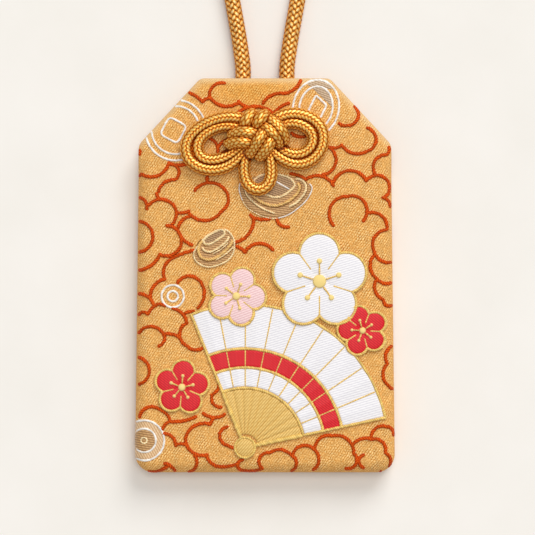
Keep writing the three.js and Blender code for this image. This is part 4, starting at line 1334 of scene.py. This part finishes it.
coin_rims = {name: traced(numbers, True) for name, numbers in coin_outlines.items()}
top_rims = {name: traced(numbers, True) for name, numbers in coin_tops.items()}
for name in coin_outlines:
    made = piece(name + "_satin", [coin_fill(coin_rims[name], lift=0.28)], coin_beige)
    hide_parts(name)
    piece(name + "_top", [coin_fill(top_rims[name], lift=0.34)], coin_satin)

# %% [markdown]
# The ropes are stitched lines again, with long slanting stitches and three quarters as high as wide. In the
# photograph a thin brown line parts each rope from the ground beside it. That line is shade; shadows are too
# soft to draw it at this size, so the shade is painted, as a thin brown stitched line. The rims change from
# white to cream along the outline.

# %% Ropes and rims of the coins
top_width, rope_height, brown_gap = 0.48, 0.75, 0.03
cream_lines = [(width, traced(numbers)) for width, numbers in cream_ropes]
cream_lines += [(top_width, rim) for rim in top_rims.values()]
thick_lines = [(width, traced(numbers)) for width, numbers in gold_ropes]
brown_lines = []
# Painted shade: a thin brown stitched line on the right side of each rope.
for width, line in cream_lines + thick_lines:
    right = -left_of(unit(np.gradient(line, axis=0)))
    beside = line + (0.5 * width + brown_gap) * right
    brown_lines.append(stitched_line(beside, width=0.2, height=0.1, **rope_stitch))
large_rim, small_rim = coin_rims.values()
left_end, right_end, top_end, small_open = 46, 151, 284, 40
cream_lines.append((0.2, large_rim[left_end : right_end + 1]))
cream_lines.append((0.38, small_rim[:-small_open]))
bar = even_steps(np.array([(1.9, 16.42), (4.3, 15.05)]))
rim_lines = [(0.24, large_rim[: left_end + 1]), (0.24, large_rim[right_end:top_end]), (0.34, bar)]
for name, lines, finish, slot in (
    ("coin_ropes", cream_lines, coin_cream, "gold_thread"),
    ("coin_thick_ropes", thick_lines, coin_gold, "gold_thread"),
    ("coin_rims", rim_lines, outline_white, "white_thread"),
):
    grids = [stitched_line(line, width, rope_height * width, **rope_stitch) for width, line in lines]
    piece(name, grids, finish)
piece("coin_brown_lines", brown_lines, coin_brown)

# %% [markdown]
# The right one of the flat coins has thin grey-brown shading beside its rings. Each shade is a strip between
# two lines, and it sinks into the cloth at both of them. The rosette is filled with two round patches and
# has a small ring as its eye.

# %% Shading of the flat coins
shade_lift, shade_sink, shade_end, shade_tone = 0.14, 0.05, 0.08, 0.8


def spread(line, count):
    """A line of points with another count of points."""
    t, own = np.linspace(0, 1, count), np.linspace(0, 1, len(line))
    return np.stack([np.interp(t, own, line[:, c]) for c in (0, 1)], -1)


def strip(first, second, count=120):
    """Grid between two lines of points: height = lift times the root of sin(pi * share across)."""
    t = np.linspace(0, 1, count)
    share = np.linspace(0, 1, 10)[None, :, None]
    place = spread(first, count)[:, None] * (1 - share) + spread(second, count)[:, None] * share
    ends = np.sqrt(np.clip(np.minimum(t, 1 - t) / shade_end, 0, 1))[:, None]
    height = shade_lift * np.sqrt(np.sin(math.pi * share[..., 0])) * ends - shade_sink
    return {"points": on_front(place[..., 0], place[..., 1], height), "tone": shade_tone}


ring_shade = satin_finish("ring_shade", 20, 0.36, 0.6, (104, 78, 54), (166, 136, 104), (208, 182, 152))
outer_ring = ellipse(right_coin, (3.9, 4.84), -10, 128, 52)
outer_edge = ellipse(right_coin, (3.05, 3.9), -10, 120, 62)
inner_ring = ellipse(right_coin, (2.9, 3.75), -10, 118, 8)
square_corner = (9.15, 31.7)
inner_edge = np.stack([inner_ring[0], square_corner, inner_ring[-1]])
shades = [strip(outer_ring, outer_edge), strip(inner_ring, inner_edge)]
piece("coin_shades", shades, ring_shade)
piece("rosette_band", [coin_fill(ellipse(rosette, (3.4, 3.4)), lift=0.12)], coin_pale)
piece("rosette_fill", [coin_fill(ellipse(rosette, (2.0, 2.0)), lift=0.2)], coin_beige)
rosette_eye = stitched_line(ellipse(rosette, (0.5, 0.5)), width=0.34, height=0.26)
piece("rosette_eye", [rosette_eye], coin_cream)

# %% [markdown]
# The back is cut from the same cloth. Nobody sees it in the photograph, so it has a plain repeat of the same
# clouds: three scallops that lean on each other, set in staggered rows and mirrored by turns. They are sewn
# flatter than on the front, because the pouch lies on them.

# %% Clouds of the back
cloud_across, cloud_up, lowest_row, back_step = 10.4, 7.6, -30.2, 0.11
cloud_of_three = np.array(
    [(-3.6, -1.4), (-3.9, 0.8), (-1.9, 1.2), (0.1, 3.2), (2.0, 1.2), (4.0, 0.9), (3.4, -1.5), (4.6, -2.2),
     (5.6, -1.2)]
)


def cloud_at(column, row):
    """The arcs of one cloud at its place in the repeat, mirrored by turns, grown a little by a share of its
    own.
    """
    grow = 1.05 + 0.2 * scatter(column, row)
    side = 1 if (column + row) % 2 else -1
    middle = np.array([cloud_across * (column + row % 2 / 2), cloud_up * row + lowest_row])
    return chain_arcs(middle + grow * cloud_of_three * [side, 1], back_step)


back_lines = [line for row in range(10) for column in range(-3, 4) for line in cloud_at(column, row)]
back_grids = stitched_on_cloth(back_lines, cloud_width, back_stitch_rise, place=on_back, **cloud_stitch)
piece("back_clouds", back_grids, cloud_thread)

# %% [markdown]
# The cord leaves the back through two holes that are edged with buttonhole stitch. Each edging is a closed
# stitched line round its hole.

# %% Stitched holes
edging_radius = 1.8
holes = [ellipse((side * hole_half, hole_y), (edging_radius, edging_radius)) for side in (-1, 1)]
hole_edges = [stitched_line(ring, width=0.8, height=0.3, pitch=0.3, place=on_back) for ring in holes]
piece("hole_edging", hole_edges, outline_gold)

# %% [markdown]
# Front and back are sewn together along the sides and the bottom. A twisted thread lies in the groove between
# the two lips, and short slanting stitches cross it. Each stitch is a thin bent rod; all of them are worked
# out at once, from their places along the outline.

# %% Seam
seam_from_top, corner_rise, within_outline = 1.6, 3.3, 0.9995
stitch_depth, stitch_bulge, stitch_reach = 0.2, 0.05, 0.85
thread_depth, twist_length, ply_least = 0.34, 1.4, 0.75


def outline_run(step):
    """Places along the outline at equal steps: down the right side, along the bottom, up the left; and the
    direction out of the pouch at each."""
    side = np.linspace(top_y - seam_from_top, bottom_y + corner_rise, 300)
    corner = bottom_y + corner_rise * np.cos(np.linspace(0, math.pi / 2, 60))[1:] ** 2
    y = np.concatenate([side, corner])
    right = np.stack([edge_x(y), y], -1)
    place = even_steps(np.concatenate([right, (right * [-1, 1])[::-1]]), step)
    return place, outward(*(place * within_outline).T)


def seam_stitches(step=1.5, slant=0.9, thick=0.4):
    """Rods across the groove: along +-slant/2, up and down to the lips, bulging out in the middle."""
    place, out = (a[1:-1, None, None] for a in outline_run(step))
    t = np.linspace(-1, 1, 7)[:, None]
    angle = round_angles(6)[None]
    taper = np.sqrt(1 - 0.98 * t**2)
    sideways = slant / 2 * t + thick / 2 * np.cos(angle) * taper
    outwards = thick / 2 * np.sin(angle) * taper - stitch_depth - stitch_bulge * t**2
    xy = place + sideways[..., None] * left_of(out) + outwards[..., None] * out
    z = seam_height(place[..., 1]) + stitch_reach * lip_half * t + 0 * angle
    points = np.concatenate([xy, z[..., None]], -1)
    tones = scatter(np.arange(len(points)), 3.0)
    # Relief is the taper: painted shade darkens each stitch towards its ends, where they go into the lips.
    return [{"points": p, "closed": True, "relief": taper, "tone": tone} for p, tone in zip(points, tones)]


def seam_thread(step=0.25, thick=0.4):
    """Twisted two-ply thread in the groove: the radius swells twice round, turning with the run."""
    place, out = outline_run(step)
    place = place - thread_depth * out
    angle = round_angles(10)
    swell = np.abs(np.cos(angle[None] - 2 * math.pi * run_along(place)[:, None] / twist_length))
    radius = thick / 2 * (ply_least + (1 - ply_least) * swell)
    radius[[0, -1]] = 0
    xy = place[:, None] + (radius * np.cos(angle))[..., None] * out[:, None]
    z = seam_height(place[:, 1])[:, None] + radius * np.sin(angle)
    # Relief is the swell: painted shade darkens the thread between its plies.
    return {"points": np.concatenate([xy, z[..., None]], -1), "closed": True, "relief": swell}


seam_gold = thread_finish("seam_gold", (128, 72, 14), (206, 146, 66), (240, 192, 112))
seam = piece("seam_stitching", [seam_thread(), *seam_stitches()], seam_gold)
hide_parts("side_seam_left", "side_seam_right", "bottom_seam")

# %% [markdown]
# Inside, out of sight, are two linings, two cards, a layer of wadding and the packet with its wooden tablet.
# Their CAD solids are right as they are, so they only get finishes: fibres for paper and card, and grain
# for wood.

# %% Finishes of what is inside
def fibre_finish(name, stretch, scale, low, high, roughness):
    """Noise drawn out along one direction, between two colours, with a slight relief."""
    material, tree, shader = new_finish(name, roughness, specular=0.2, sheen=0.1)
    fibre = noise(tree, mapped_place(tree, stretch), scale, 5.0)
    tree.links.new(ramp(tree, fibre, (0.3, low), (0.7, high)), shader.inputs["Base Color"])
    bumped(tree, shader, fibre, 0.05, 0.4)
    return material


inside_finishes = {
    "lining_silk": ((1, 0.25, 1), 4000.0, (224, 208, 178), (246, 236, 214), 0.6),
    "grey_card": ((1, 1, 1), 2500.0, (190, 170, 134), (216, 198, 164), 0.9),
    "wadding_fibre": ((1, 1, 1), 1800.0, (232, 228, 218), (252, 250, 244), 1.0),
    "cypress_wood": ((1, 0.06, 1), 1600.0, (196, 150, 96), (228, 192, 142), 0.6),
    "mulberry_paper": ((1, 0.4, 1), 2200.0, (240, 234, 220), (254, 250, 240), 0.85),
    "red_paper": ((1, 0.4, 1), 2200.0, (176, 14, 22), (212, 30, 36), 0.8),
}
made_of = {
    "lining_silk": ("front_lining", "back_lining"), "grey_card": ("front_card", "back_card"),
    "wadding_fibre": ("wadding",), "cypress_wood": ("prayer_tablet",),
    "mulberry_paper": ("paper_wrapper",), "red_paper": ("wrapper_band",),
}
for name, values in inside_finishes.items():
    finish = fibre_finish(name, *values)
    for node in made_of[name]:
        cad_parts[node].data.materials.clear()
        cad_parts[node].data.materials.append(finish)
print("finishes for what is inside:", ", ".join(inside_finishes))

# %% [markdown]
# The table is a pale plain plane. One large soft lamp stands beyond the top of the pouch and a little to the
# right, as the shadow below and to the left of it shows. A weaker lamp above the front and an even sky fill
# in the rest.

# %% Table, light and background
def pale_table(half=2.0, level=-0.12 * MM):
    """A large flat square just below the object, with a faint grain."""
    material, tree, shader = new_finish("pale_table", roughness=0.8, specular=0.1)
    grain = noise(tree, object_place(tree), 60.0, 4.0)
    colour = ramp(tree, grain, (0.3, (243, 240, 235)), (0.7, (247, 244, 240)))
    tree.links.new(colour, shader.inputs["Base Color"])
    mesh = bpy.data.meshes.new("table")
    places = [(x, y, level) for y in (-half, half) for x in (-half, half)]
    mesh.from_pydata(places, [], [(0, 1, 3, 2)])
    mesh.materials.append(material)
    table = placed("table", mesh)


def lamp(name, place, size, power, colour):
    """A square area lamp that faces the middle of the pouch."""
    data = bpy.data.lights.new(name, "AREA")
    data.size, data.energy, data.color = size, power, colour
    made = placed(name, data)
    made.location = place
    made.rotation_euler = (-made.location).to_track_quat("-Z", "Y").to_euler()


pale_table()
lamp("soft_lamp", (1.5, 3.8, 3.3), size=2.8, power=158.0, colour=(1.0, 0.985, 0.955))
lamp("front_lamp", (0.2, 0.7, 5.0), size=2.2, power=84.0, colour=(1.0, 0.99, 0.965))
world = bpy.data.worlds.new("sky")
world.use_nodes = True
sky = world.node_tree.nodes["Background"]
sky.inputs["Color"].default_value = (1.0, 0.985, 0.96, 1.0)
sky.inputs["Strength"].default_value = 0.37
bpy.context.scene.world = world
